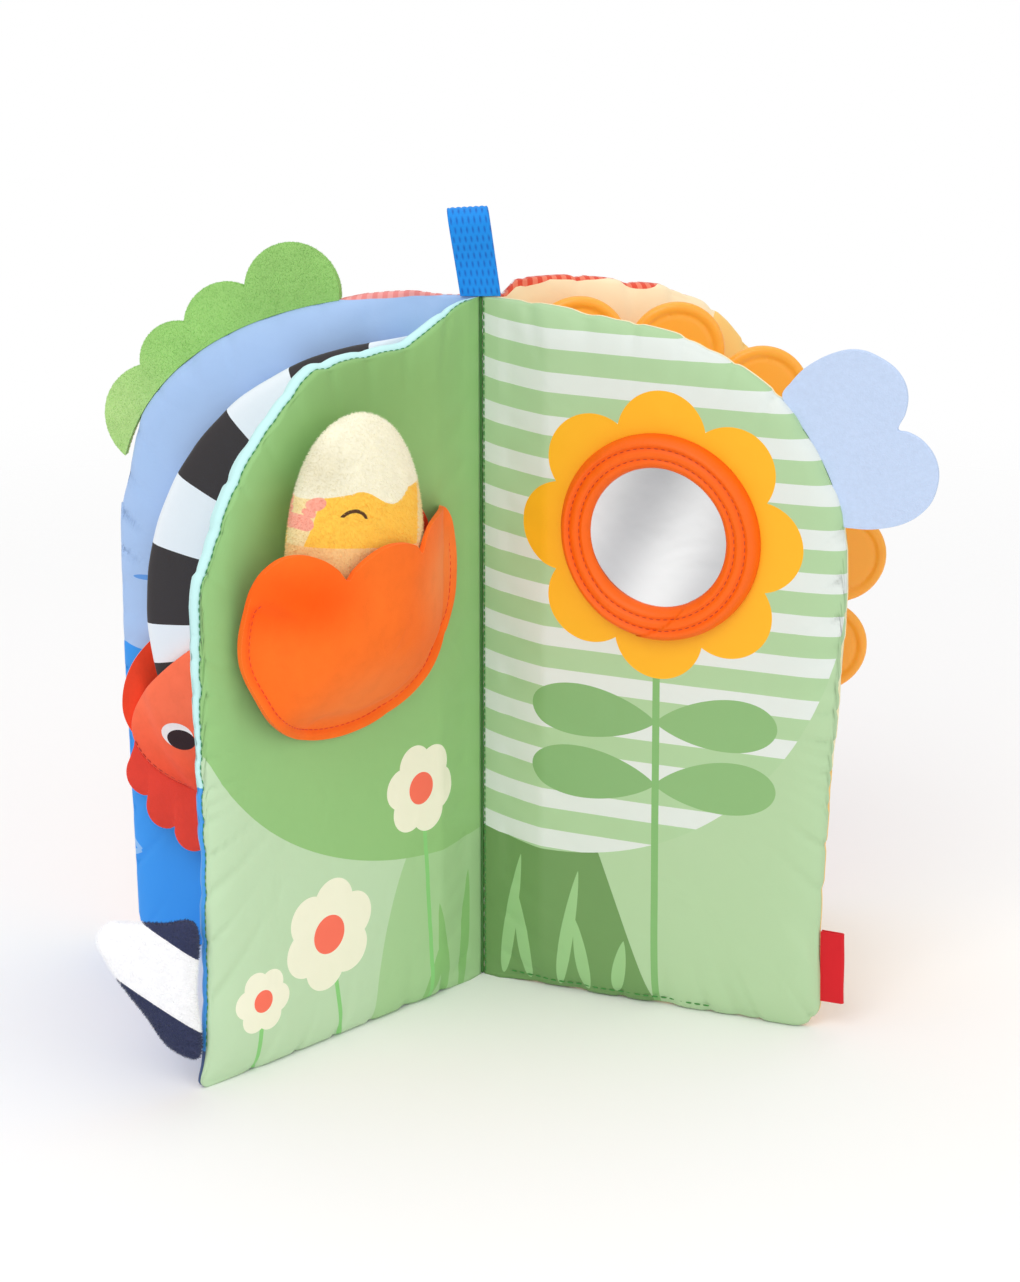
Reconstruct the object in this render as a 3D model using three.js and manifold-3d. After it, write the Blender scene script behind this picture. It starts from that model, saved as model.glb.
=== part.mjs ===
// A baby's soft book: four padded fabric leaves sewn to one spine, standing fanned open on their lower edges.
// Millimetres. The spine is the Z axis, and the floor is at Z = 0. X runs along the book, Y to its back.
// Each leaf is modelled flat in its own frame: X out from the spine, Y through its thickness, Z up.
import * as THREE from "three";
import { mergeVertices } from "three/addons/utils/BufferGeometryUtils.js";
import Module from "manifold-3d";

const wasm = await Module();
wasm.setup();

// Driving dimensions
const clearance = 0.3; // between pieces that lie on each other
const seatGap = 0.5; // between a crowned page and what is sewn on it
const weld = 1e-4; // points closer than this are one point

const leaf = {
  height: 230,
  width: 122,
  springing: 148, // where the straight outer edge meets the arched top
  archPower: 2.3,
  cornerRadius: 10,
  crown: 6, // half of the thickness at the middle
  fabric: 0.8,
  drawIn: 1.2, // how far the stuffing pulls the outer edge in
  hemStart: 2.8,
  hemFabric: 0.8,
  stuffedFrom: 7, // the gutter seam, where the stuffing starts
  ramp: 38, // from the gutter seam to the full crown
  edgeRound: 28,
};

const spine = { radius: 2.5 };

// Each leaf's direction round the spine, in degrees from X at the opening shown
const openingDegrees = {
  mirrorLeaf: -22.2,
  chickLeaf: 225.8,
  seaCover: 165.9,
  sunCover: 28,
  teether: 3,
};

const webbing = {
  width: 12.7,
  thickness: 1.4,
  rise: 30,
  eye: 6.6,
  foot: 0.5,
  neckShare: 0.3, // how far up the rise the two plies lie together
  leanDegrees: 6,
};

const mirror = { r: 62.5, z: 160, radius: 24.2, thickness: 0.8 };
const mirrorRing = { inner: 22.4, outer: 33, height: 4, lap: 0.8, lapDegrees: 22 };

const cloud = {
  thickness: 2,
  lobes: [
    { r: 120.5, z: 204, radius: 21 },
    { r: 136.5, z: 185, radius: 15.2 },
    { r: 121, z: 184, radius: 15.4 },
  ],
};

const bush = {
  thickness: 3,
  lobes: [
    { r: 61.5, z: 228, radius: 15.8 },
    { r: 83, z: 215, radius: 15 },
    { r: 100, z: 203, radius: 13.3 },
    { r: 108.5, z: 184.5, radius: 17.4 },
  ],
};

const tag = { width: 24, reach: 8, ribbon: 0.6, fold: 1.8, z: 22 };

const tail = {
  thickness: 9,
  seam: 1.4,
  rootLow: 11,
  rootHigh: 57,
  tipReach: 33,
  bendDegrees: 25,
};

const pocket = {
  r: 67,
  z: 139,
  halfWidth: 47,
  halfHeight: 35,
  fabric: 1.6,
  bulge: 25,
  bulgeHalfWidth: 42,
  bulgeFoot: 106,
  bulgeRise: 40,
  curl: 9, // how far the free tip of the spine's petal stands off the page
  curlR: 34,
  curlHalfWidth: 22,
  curlFoot: 132,
  curlRise: 38,
};
const backPetal = { r: 38, z: 158, halfWidth: 8, halfHeight: 14, fabric: 0.8 };

const chick = {
  r: 75,
  z: 163,
  halfWidth: 28.5,
  rise: 47,
  drop: 45,
  halfThickness: 11,
  seam: 0.5,
  taperShare: 0.1,
  leanShare: 0.05,
};

const track = {
  r: 15.7,
  z: 124,
  radius: 82.4,
  width: 22,
  thickness: 8,
  fromDegrees: -68, // the arc's sewn ends
  toDegrees: 86,
  tabDegrees: 8, // over which an end comes down to the page
  tabShare: 0.3, // how much of the thickness is left at a sewn end
  sides: 12,
};

const slider = {
  angleDegrees: -31, // where it rests on the track's arc
  channelDegrees: 45, // of the arc that its channel covers on each side
  inset: 2.4, // how far its middle lies inside the track's middle line
  halfWidth: 31,
  rise: 33,
  drop: 21,
  puff: 5,
  back: 2.4,
  skirt: 2.2,
  drape: 8, // how far beside the track the fabric comes down to the middle plane
  taperShare: 0.12,
  skirtHalfWidth: 30,
  skirtDrop: 38,
  skirtFromDegrees: 192,
  skirtToDegrees: 348,
  lobes: 7,
  lobeDepth: 4.5,
  stepsPerLobe: 5,
};

const teether = {
  r: 41.3,
  z: 140.8,
  radius: 74.2,
  lobeRadius: 15.4,
  pitchDegrees: 24, // from lobe to lobe
  middleDegrees: 2, // the middle lobe above the horizontal
  lobes: 9,
  halfThickness: 2.2,
  ridge: 0.7,
  bandWidth: 15,
  bandInsideShare: 0.75, // how much of the band lies inside the circle of the lobes' middles
  bandThicknessShare: 0.8,
  tabThickness: 0.5,
  tabWidth: 13,
};

// Outlines, as shares of the half width and half height of the piece they belong to
const petalOutlineShares = [
  [1, 0.34],
  [0.96, 0.8],
  [0.81, 0.94],
  [0.62, 0.9],
  [0.49, 0.71],
  [0.32, 0.86],
  [0.11, 0.91],
  [-0.11, 0.8],
  [-0.28, 0.95],
  [-0.47, 1],
  [-0.68, 0.97],
  [-0.9, 0.72],
  [-1, 0.28],
  [-0.97, -0.14],
  [-0.87, -0.49],
  [-0.66, -0.74],
  [-0.38, -0.91],
  [-0.11, -0.99],
  [0.23, -0.97],
  [0.57, -0.81],
  [0.79, -0.63],
  [0.94, -0.37],
  [1, 0],
];
const backPetalOutlineShares = [
  [0.9, 0.5],
  [0.4, 0.98],
  [-0.4, 0.9],
  [-1, 0.3],
  [-0.9, -0.5],
  [0, -1],
  [0.9, -0.6],
];
const tailOutlineShares = [
  [0, 0],
  [0.3, 0.06],
  [0.62, 0.4],
  [0.94, 0.78],
  [1, 0.98],
  [0.88, 1.08],
  [0.6, 1.06],
  [0.3, 1.02],
  [0, 1],
  [0, 0.5],
];
const tailCentreShares = [0.36, 0.62];
// The mirror ring's rounded section, as shares of its half width and its height, from the outer edge to the inner one
const ringSectionShares = [
  [1, 0.4],
  [0.7, 0.85],
  [0, 1],
  [-0.7, 0.85],
  [-1, 0.5],
];
// The raised ring on each lobe of the teether, as shares of the lobe's radius
const lobeRidgeShares = { outerFoot: 0.74, outerTop: 0.68, innerTop: 0.58, innerFoot: 0.5 };
const paddedRingShares = [0.4, 0.68, 0.87, 0.97, 1];
const sheetRingShares = [0.2, 0.4, 0.6, 0.8, 1];

const degrees = THREE.MathUtils.degToRad;

// Makes a solid of a closed geometry, for joins and cuts.
function solidOf(geometry) {
  const bare = geometry.index ? geometry.toNonIndexed() : geometry.clone();
  bare.deleteAttribute("normal");
  bare.deleteAttribute("uv");
  const merged = mergeVertices(bare, weld);
  return new wasm.Manifold(
    new wasm.Mesh({
      numProp: 3,
      vertProperties: merged.attributes.position.array,
      triVerts: new Uint32Array(merged.index.array),
    }),
  );
}

// Turns a solid back into a geometry.
function geometryOf(solid) {
  const mesh = solid.getMesh();
  const geometry = new THREE.BufferGeometry();
  const points = new Float32Array(mesh.numVert * 3);
  for (let i = 0; i < mesh.numVert; i++) {
    points.set(mesh.vertProperties.subarray(i * mesh.numProp, i * mesh.numProp + 3), i * 3);
  }
  geometry.setAttribute("position", new THREE.BufferAttribute(points, 3));
  geometry.setIndex(new THREE.BufferAttribute(mesh.triVerts, 1));
  return geometry;
}

// Builds a closed geometry from triangles of points, with its faces turned out.
function closedBody(triangles) {
  let volume = 0;
  for (const [a, b, c] of triangles) {
    volume += a.dot(new THREE.Vector3().crossVectors(b, c));
  }
  const points = [];
  for (const [a, b, c] of triangles) {
    for (const p of volume > 0 ? [a, b, c] : [a, c, b]) {
      points.push(p.x, p.y, p.z);
    }
  }
  const geometry = new THREE.BufferGeometry();
  geometry.setAttribute("position", new THREE.Float32BufferAttribute(points, 3));
  return geometry;
}

// Two triangles of a four-sided face.
function quad(a, b, c, d) {
  return [
    [a, b, c],
    [a, c, d],
  ];
}

// A body between two grids of points, closed round their edges.
function gridBody(high, low) {
  const triangles = [];
  const columns = high.length - 1;
  const rows = high[0].length - 1;
  for (let i = 0; i < columns; i++) {
    for (let j = 0; j < rows; j++) {
      triangles.push(...quad(high[i][j], high[i + 1][j], high[i + 1][j + 1], high[i][j + 1]));
      triangles.push(...quad(low[i][j], low[i][j + 1], low[i + 1][j + 1], low[i + 1][j]));
    }
    triangles.push(...quad(high[i][0], low[i][0], low[i + 1][0], high[i + 1][0]));
    triangles.push(...quad(high[i][rows], high[i + 1][rows], low[i + 1][rows], low[i][rows]));
  }
  for (let j = 0; j < rows; j++) {
    triangles.push(...quad(high[0][j], high[0][j + 1], low[0][j + 1], low[0][j]));
    triangles.push(...quad(high[columns][j], low[columns][j], low[columns][j + 1], high[columns][j + 1]));
  }
  return closedBody(triangles);
}

// A body inside a closed outline of [r, z] points. Its two faces stand at high and low offsets,
// each a function of r, z and the share of the way from the centre to the outline.
function outlineBody(outline, centre, ringShares, high, low) {
  const face = (offset) => {
    const middle = new THREE.Vector3(centre[0], offset(centre[0], centre[1], 0), centre[1]);
    const rings = ringShares.map((share) =>
      outline.map(([r, z]) => {
        const x = centre[0] + share * (r - centre[0]);
        const y = centre[1] + share * (z - centre[1]);
        return new THREE.Vector3(x, offset(x, y, share), y);
      }),
    );
    return { middle, rings };
  };
  const top = face(high);
  const bottom = face(low);
  const triangles = [];
  const last = ringShares.length - 1;
  outline.forEach((_, s) => {
    const n = (s + 1) % outline.length;
    triangles.push([top.middle, top.rings[0][s], top.rings[0][n]]);
    triangles.push([bottom.middle, bottom.rings[0][n], bottom.rings[0][s]]);
    for (let k = 0; k < last; k++) {
      const up = top.rings;
      const down = bottom.rings;
      triangles.push(...quad(up[k][s], up[k + 1][s], up[k + 1][n], up[k][n]));
      triangles.push(...quad(down[k][s], down[k][n], down[k + 1][n], down[k + 1][s]));
    }
    triangles.push(...quad(top.rings[last][s], bottom.rings[last][s], bottom.rings[last][n], top.rings[last][n]));
  });
  return closedBody(triangles);
}

// A smooth closed outline through shares of a piece's half sizes.
function smoothOutline(shares, place, halfWidth, halfHeight, count) {
  const knots = shares.map(
    ([across, up]) => new THREE.Vector3(place.r + across * halfWidth, place.z + up * halfHeight, 0),
  );
  const curve = new THREE.CatmullRomCurve3(knots, true, "centripetal");
  return curve
    .getSpacedPoints(count)
    .slice(0, count)
    .map((p) => [p.x, p.y]);
}

// The leaf's outline and crown
function archTop(r) {
  const share = Math.min(1, r / leaf.width);
  const rise = (1 - share ** leaf.archPower) ** (1 / leaf.archPower);
  return leaf.springing + (leaf.height - leaf.springing) * rise;
}

function lowerEdge(r) {
  const into = r - (leaf.width - leaf.cornerRadius);
  return into <= 0 ? 0 : leaf.cornerRadius - Math.sqrt(Math.max(0, leaf.cornerRadius ** 2 - into ** 2));
}

function drawnShare(z) {
  const share = Math.min(1, Math.max(0, z / leaf.springing));
  return 1 - (leaf.drawIn / leaf.width) * Math.sin(Math.PI * share);
}

function roundOff(distance) {
  const share = Math.min(1, Math.max(0, distance / leaf.edgeRound));
  return Math.sqrt(1 - (1 - share) ** 2);
}

const seamHalf = leaf.fabric + clearance / 2;

function halfThickness(r, z) {
  const ramp = Math.min(1, Math.max(0, (r - leaf.stuffedFrom) / leaf.ramp));
  const round = roundOff(leaf.width - r) * roundOff(archTop(r) - z) * roundOff(z - lowerEdge(r));
  return seamHalf + (leaf.crown - seamHalf) * ramp * round;
}

const columnCount = 10;
const rowCount = 12;
const roundSteps = 40;

// The leaf's grid: the hem's edge, the gutter seam, and columns that crowd towards the outer edge.
const columnPlaces = [leaf.hemStart];
for (let i = 0; i <= columnCount; i++) {
  const share = Math.sin((Math.PI / 2) * (i / columnCount));
  columnPlaces.push(leaf.stuffedFrom + (leaf.width - leaf.stuffedFrom) * share);
}

function leafGrid(firstColumn, lastColumn, firstRow, lastRow, offset) {
  const grid = [];
  for (let i = firstColumn; i <= lastColumn; i++) {
    const column = [];
    const r = columnPlaces[i];
    for (let j = firstRow; j <= lastRow; j++) {
      const share = 0.5 - 0.5 * Math.cos((Math.PI * j) / rowCount);
      const z = lowerEdge(r) + (archTop(r) - lowerEdge(r)) * share;
      column.push(new THREE.Vector3(r * drawnShare(z), offset(r, z, i), z));
    }
    grid.push(column);
  }
  return grid;
}

// The cut piece of fabric on one side of a leaf. The one that carries the hem runs on to the spine.
function panelGeometry(side, withHem) {
  const outer = (r, z, i) => (i === 0 ? leaf.hemFabric / 2 : halfThickness(r, z));
  const inner = (r, z, i) => (i === 0 ? -leaf.hemFabric / 2 : halfThickness(r, z) - leaf.fabric);
  const first = withHem ? 0 : 1;
  const last = columnPlaces.length - 1;
  return gridBody(
    leafGrid(first, last, 0, rowCount, (r, z, i) => side * outer(r, z, i)),
    leafGrid(first, last, 0, rowCount, (r, z, i) => side * inner(r, z, i)),
  );
}

function battingGeometry() {
  const half = (r, z) => halfThickness(r, z) - leaf.fabric - clearance;
  const last = columnPlaces.length - 3;
  return gridBody(
    leafGrid(3, last, 1, rowCount - 1, half),
    leafGrid(3, last, 1, rowCount - 1, (r, z) => -half(r, z)),
  );
}

// The prism of a leaf's outline, grown by the clearance, which cuts what is sewn in its edge seam.
function leafPrism(depth) {
  const shape = new THREE.Shape();
  const reach = leaf.width + clearance;
  const steps = roundSteps;
  shape.moveTo(0, 0);
  shape.lineTo(reach, 0);
  for (let i = steps; i >= 0; i--) {
    const r = leaf.width * Math.sin((Math.PI / 2) * (i / steps));
    const across = (r / leaf.width) * clearance;
    shape.lineTo(r + across, archTop(r) + clearance);
  }
  const geometry = new THREE.ExtrudeGeometry(shape, { depth, bevelEnabled: false });
  return geometry.translate(0, 0, -depth / 2).rotateX(Math.PI / 2);
}

// Flat scalloped pieces: round lobes joined in one sheet, and cut off at the leaf's edge.
function scallopGeometry(piece) {
  const disc = ({ r, z, radius }) =>
    new THREE.CylinderGeometry(radius, radius, piece.thickness, roundSteps).translate(r, 0, z);
  const joined = piece.lobes.map(disc).map(solidOf);
  const sheet = joined.slice(1).reduce((all, next) => all.add(next), joined[0]);
  return geometryOf(sheet.subtract(solidOf(leafPrism(2 * piece.thickness))));
}

// A cylinder's axis and a lathe's axis run along Y, which is the leaf's thickness.
// This lays such a piece on the page: its height stands on the crown below each point.
function layOnPage(geometry, place, side, lift) {
  const points = geometry.attributes.position;
  for (let i = 0; i < points.count; i++) {
    const r = place.r + points.getX(i);
    const z = place.z + points.getZ(i);
    points.setXYZ(i, r, side * (halfThickness(r, z) + seatGap + lift + points.getY(i)), z);
  }
  return geometry;
}

// Reverses a geometry that a mirrored mapping has turned inside out.
function turnedOut(geometry) {
  const solid = geometry.index ? geometry.toNonIndexed() : geometry;
  const points = solid.attributes.position;
  const triangles = [];
  for (let i = 0; i < points.count; i += 3) {
    triangles.push([0, 1, 2].map((k) => new THREE.Vector3().fromBufferAttribute(points, i + k)));
  }
  return closedBody(triangles);
}

function mirrorGeometry() {
  const disc = new THREE.CylinderGeometry(mirror.radius, mirror.radius, mirror.thickness, roundSteps);
  disc.translate(0, mirror.thickness / 2, 0);
  return turnedOut(layOnPage(disc, mirror, -1, 0));
}

// The mirror's padded frame: a ring that steps over the mirror's rim, with its ends lapped below.
function mirrorRingGeometry() {
  const { inner, outer, height } = mirrorRing;
  const step = mirror.radius + clearance;
  const overMirror = mirror.thickness + clearance;
  const middle = (inner + outer) / 2;
  const half = (outer - inner) / 2;
  const profile = [
    [step, 0],
    [outer, 0],
    ...ringSectionShares.map(([across, up]) => [middle + across * half, up * height]),
    [inner, overMirror],
    [step, overMirror],
    [step, 0],
  ].map(([r, y]) => new THREE.Vector2(r, y));
  const ring = new THREE.LatheGeometry(profile, roundSteps);
  const points = ring.attributes.position;
  for (let i = 0; i < points.count; i++) {
    const turn = THREE.MathUtils.radToDeg(Math.atan2(points.getZ(i), points.getX(i)));
    const onLap = Math.abs(turn + 90) < mirrorRing.lapDegrees && points.getY(i) > height / 2;
    points.setY(i, points.getY(i) + (onLap ? mirrorRing.lap : 0));
  }
  return turnedOut(layOnPage(ring, mirror, -1, 0));
}

// The pocket's front stands off the page to hold the chick, and lies on it along the seam.
function pocketBulge(r, z) {
  const up = Math.min(1, Math.max(0, (z - pocket.bulgeFoot) / pocket.bulgeRise));
  const across = Math.min(1, Math.abs(r - chick.r) / pocket.bulgeHalfWidth);
  const curlUp = Math.min(1, Math.max(0, (z - pocket.curlFoot) / pocket.curlRise));
  const curlAcross = Math.min(1, Math.abs(r - pocket.curlR) / pocket.curlHalfWidth);
  const belly = pocket.bulge * Math.sin((Math.PI / 2) * up) ** 0.7 * (1 - across ** 2.6);
  return belly + pocket.curl * curlUp * (1 - curlAcross ** 2);
}

function pocketGeometry() {
  const outline = smoothOutline(petalOutlineShares, pocket, pocket.halfWidth, pocket.halfHeight, 46);
  const low = (r, z) => halfThickness(r, z) + seatGap + pocketBulge(r, z);
  return outlineBody(outline, [pocket.r, pocket.z], sheetRingShares, (r, z) => low(r, z) + pocket.fabric, low);
}

function backPetalGeometry() {
  const { halfWidth, halfHeight, fabric } = backPetal;
  const outline = smoothOutline(backPetalOutlineShares, backPetal, halfWidth, halfHeight, 18);
  const low = (r, z) => halfThickness(r, z) + seatGap;
  return outlineBody(outline, [backPetal.r, backPetal.z], [0.5, 1], (r, z) => low(r, z) + fabric, low);
}

// An egg shape, narrower towards the top, stuffed to a crown.
function chickGeometry() {
  const outline = [];
  const steps = 28;
  for (let i = 0; i < steps; i++) {
    const turn = (2 * Math.PI * i) / steps;
    const up = Math.sin(turn);
    const across = Math.cos(turn) * (1 - chick.taperShare * up);
    outline.push([
      chick.r + (across - up * chick.leanShare) * chick.halfWidth,
      chick.z + up * (up > 0 ? chick.rise : chick.drop),
    ]);
  }
  const middle = leaf.crown + seatGap + chick.halfThickness + chick.seam;
  const puff = (share) => chick.seam + chick.halfThickness * Math.sqrt(1 - share ** 2);
  return outlineBody(
    outline,
    [chick.r, chick.z],
    paddedRingShares,
    (r, z, share) => middle + puff(share),
    (r, z, share) => middle - puff(share),
  );
}

// A plump plush tail, sewn in the outer seam of its leaf.
function tailGeometry() {
  const reach = tail.tipReach;
  const height = tail.rootHigh - tail.rootLow;
  const knots = tailOutlineShares.map(
    ([out, up]) => new THREE.Vector3(out * reach, tail.rootLow + up * height, 0),
  );
  const curve = new THREE.CatmullRomCurve3(knots, true, "centripetal");
  const outline = curve
    .getSpacedPoints(28)
    .slice(0, 28)
    .map((p) => [p.x, p.y]);
  const puff = (share) => tail.seam / 2 + ((tail.thickness - tail.seam) / 2) * Math.sqrt(1 - share ** 2);
  const centre = [reach * tailCentreShares[0], tail.rootLow + height * tailCentreShares[1]];
  return outlineBody(outline, centre, paddedRingShares, (r, z, s) => puff(s), (r, z, s) => -puff(s));
}

// The track stands off the page by the slider's back, which runs behind it.
const trackOffset = leaf.crown + seatGap + slider.back + clearance + track.thickness / 2;

// One ring of the track's oval section, at an angle along its arc.
function trackSection(angle, halfWidth, halfThick, offset) {
  const ring = [];
  for (let k = 0; k < track.sides; k++) {
    const turn = (2 * Math.PI * k) / track.sides;
    const square = (value) => Math.sign(value) * Math.abs(value) ** 0.7;
    const radius = track.radius + square(Math.cos(turn)) * halfWidth;
    ring.push(
      new THREE.Vector3(
        track.r + radius * Math.cos(angle),
        offset + square(Math.sin(turn)) * halfThick,
        track.z + radius * Math.sin(angle),
      ),
    );
  }
  return ring;
}

// Joins rings of points into one closed tube.
function loftBody(rings) {
  const triangles = [];
  const sides = rings[0].length;
  for (let i = 0; i + 1 < rings.length; i++) {
    for (let k = 0; k < sides; k++) {
      const n = (k + 1) % sides;
      triangles.push(...quad(rings[i][k], rings[i][n], rings[i + 1][n], rings[i + 1][k]));
    }
  }
  const first = rings[0];
  const last = rings[rings.length - 1];
  for (let k = 1; k + 1 < sides; k++) {
    triangles.push([first[0], first[k + 1], first[k]]);
    triangles.push([last[0], last[k], last[k + 1]]);
  }
  return closedBody(triangles);
}

// A padded striped tube that arches over the page. Its ends flatten and are sewn down.
function trackGeometry() {
  const rings = [];
  const steps = 30;
  for (let i = 0; i <= steps; i++) {
    const angle = degrees(track.fromDegrees + ((track.toDegrees - track.fromDegrees) * i) / steps);
    const r = track.r + track.radius * Math.cos(angle);
    const z = track.z + track.radius * Math.sin(angle);
    const degreesFromEnd = Math.min(i, steps - i) * ((track.toDegrees - track.fromDegrees) / steps);
    const open = Math.min(1, degreesFromEnd / track.tabDegrees);
    const halfThick = (track.thickness / 2) * (track.tabShare + (1 - track.tabShare) * open);
    const sewn = halfThickness(r, z) + seatGap + halfThick;
    const lift = sewn + (trackOffset - sewn) * open;
    rings.push(trackSection(angle, track.width / 2, halfThick, lift));
  }
  return loftBody(rings);
}

// The space that the track takes as the slider travels along it.
function trackChannel() {
  const rings = [];
  const steps = 18;
  for (let i = 0; i <= steps; i++) {
    const angle = degrees(slider.angleDegrees + slider.channelDegrees * ((2 * i) / steps - 1));
    rings.push(
      trackSection(angle, track.width / 2 + clearance, track.thickness / 2 + clearance, trackOffset),
    );
  }
  return solidOf(loftBody(rings));
}

const sliderPlace = {
  r: track.r + (track.radius - slider.inset) * Math.cos(degrees(slider.angleDegrees)),
  z: track.z + (track.radius - slider.inset) * Math.sin(degrees(slider.angleDegrees)),
};

// The slider's round head: narrower towards its top, flatter along the crease where the skirt starts.
function sliderOutline() {
  const outline = [];
  const steps = 32;
  for (let i = 0; i < steps; i++) {
    const turn = (2 * Math.PI * i) / steps;
    const up = Math.sin(turn);
    const across = Math.cos(turn) * (1 - slider.taperShare * Math.max(0, up) ** 2);
    const reach = up > 0 ? slider.rise : slider.drop;
    outline.push([sliderPlace.r + across * slider.halfWidth, sliderPlace.z + up * reach]);
  }
  return outline;
}

// How far the slider's fabric stands off the track's middle plane as it passes over the track.
function overTrack(r, z) {
  const aside = Math.abs(Math.hypot(r - track.r, z - track.z) - track.radius) - track.width / 2;
  const share = Math.min(1, Math.max(0, aside / slider.drape));
  return (track.thickness / 2 + clearance) * (0.5 + 0.5 * Math.cos(Math.PI * share));
}

function sliderFrontGeometry() {
  const base = trackOffset + clearance / 2;
  const puff = (share) => slider.puff * Math.sqrt(1 - share ** 2);
  const dome = outlineBody(
    sliderOutline(),
    [sliderPlace.r, sliderPlace.z],
    paddedRingShares,
    (r, z, share) => base + slider.skirt + overTrack(r, z) + puff(share),
    () => base,
  );
  return geometryOf(solidOf(dome).subtract(trackChannel()));
}

function sliderBackGeometry() {
  const top = trackOffset - clearance / 2;
  const back = outlineBody(
    sliderOutline(),
    [sliderPlace.r, sliderPlace.z],
    paddedRingShares,
    () => top,
    (r, z) => trackOffset - slider.back - overTrack(r, z),
  );
  return geometryOf(solidOf(back).subtract(trackChannel()));
}

const material = (color, roughness, metalness = 0) =>
  new THREE.MeshStandardMaterial({ color, roughness, metalness });

const cloth = {
  meadow: material(0x8fc47e, 0.8),
  cream: material(0xf7e6b4, 0.8),
  sea: material(0x2f8fe6, 0.8),
  sky: material(0xa9c5ee, 0.8),
  peach: material(0xfcd9a4, 0.8),
  gingham: material(0xe8523f, 0.8),
  batting: material(0xf4f4f2, 0.95),
  binding: material(0x4f8f3c, 0.8),
  webbing: material(0x1f86e0, 0.7),
  felt: material(0xc4d7f1, 0.95),
  plush: material(0x86bd63, 0.95),
  ribbon: material(0xd9202f, 0.6),
  velour: material(0xff6a2b, 0.9),
  coral: material(0xf5593a, 0.85),
  chick: material(0xffb648, 0.95),
  navy: material(0x2c3560, 0.95),
  stripes: material(0xf2f2f2, 0.85),
  vinyl: material(0xf86f1f, 0.45),
  silicone: material(0xff8a1f, 0.35),
  silver: material(0xd8dadb, 0.08, 0.9),
};

function named(name, geometry, look) {
  const mesh = new THREE.Mesh(geometry, look);
  mesh.name = name;
  return mesh;
}

// A leaf is two fabric panels round a sheet of batting. The first panel is on its +Y side and carries the hem.
function makeLeaf(name, angle, [firstName, firstLook], [secondName, secondLook]) {
  const group = new THREE.Group();
  group.rotation.z = degrees(angle);
  group.add(named(`${name}_${firstName}`, panelGeometry(1, true), firstLook));
  group.add(named(`${name}_${secondName}`, panelGeometry(-1, false), secondLook));
  group.add(named(`${name}_batting`, battingGeometry(), cloth.batting));
  return group;
}

// A folded webbing loop, seen from its edge: an eye above, closed to a round foot on the spine seam.
function webbingGeometry() {
  const { width, thickness, rise, eye, foot, neckShare } = webbing;
  const neckTop = rise * neckShare;
  const bendSteps = 10;
  const outline = (inset) => {
    const half = eye / 2 + thickness - inset;
    const neck = foot / 2 + thickness - inset;
    const top = rise - inset;
    const points = [];
    for (let i = 0; i <= bendSteps; i++) {
      const turn = (Math.PI * i) / bendSteps;
      points.push([half * Math.cos(turn), top - half + half * Math.sin(turn)]);
    }
    points.push([-neck, neckTop]);
    for (let i = 0; i <= bendSteps; i++) {
      const turn = Math.PI * (1 + i / bendSteps);
      points.push([neck * Math.cos(turn), neck * (1 + Math.sin(turn))]);
    }
    points.push([neck, neckTop]);
    return points;
  };
  const shape = new THREE.Shape(outline(0).map(([x, y]) => new THREE.Vector2(x, y)));
  const hole = outline(thickness).slice(0, bendSteps + 1);
  hole.push([-foot / 2, neckTop]);
  hole.push([foot / 2, neckTop]);
  shape.holes.push(new THREE.Path(hole.map(([x, y]) => new THREE.Vector2(x, y))));
  const geometry = new THREE.ExtrudeGeometry(shape, { depth: width, bevelEnabled: false });
  geometry.translate(0, 0, -width / 2);
  geometry.rotateX(Math.PI / 2);
  return geometry.rotateZ(Math.PI / 2);
}

// A ribbon folded in half, with its fold outwards and its cut ends in the seam.
function tagGeometry() {
  const { width, reach, ribbon, fold } = tag;
  const shape = new THREE.Shape();
  shape.moveTo(fold / 2, -fold / 2);
  shape.lineTo(reach - fold / 2, -fold / 2);
  shape.absarc(reach - fold / 2, 0, fold / 2, -Math.PI / 2, Math.PI / 2, false);
  shape.lineTo(fold / 2, fold / 2);
  shape.absarc(fold / 2, 0, fold / 2, Math.PI / 2, (3 * Math.PI) / 2, false);
  const slit = fold / 2 - ribbon;
  const hole = new THREE.Path();
  hole.moveTo(fold / 2, -slit);
  hole.lineTo(fold / 2, slit);
  hole.lineTo(reach - fold / 2, slit);
  hole.absarc(reach - fold / 2, 0, slit, Math.PI / 2, -Math.PI / 2, true);
  shape.holes.push(hole);
  const geometry = new THREE.ExtrudeGeometry(shape, { depth: width, bevelEnabled: false, curveSegments: 8 });
  return geometry.translate(leaf.width + clearance, 0, tag.z - width / 2);
}

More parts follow.
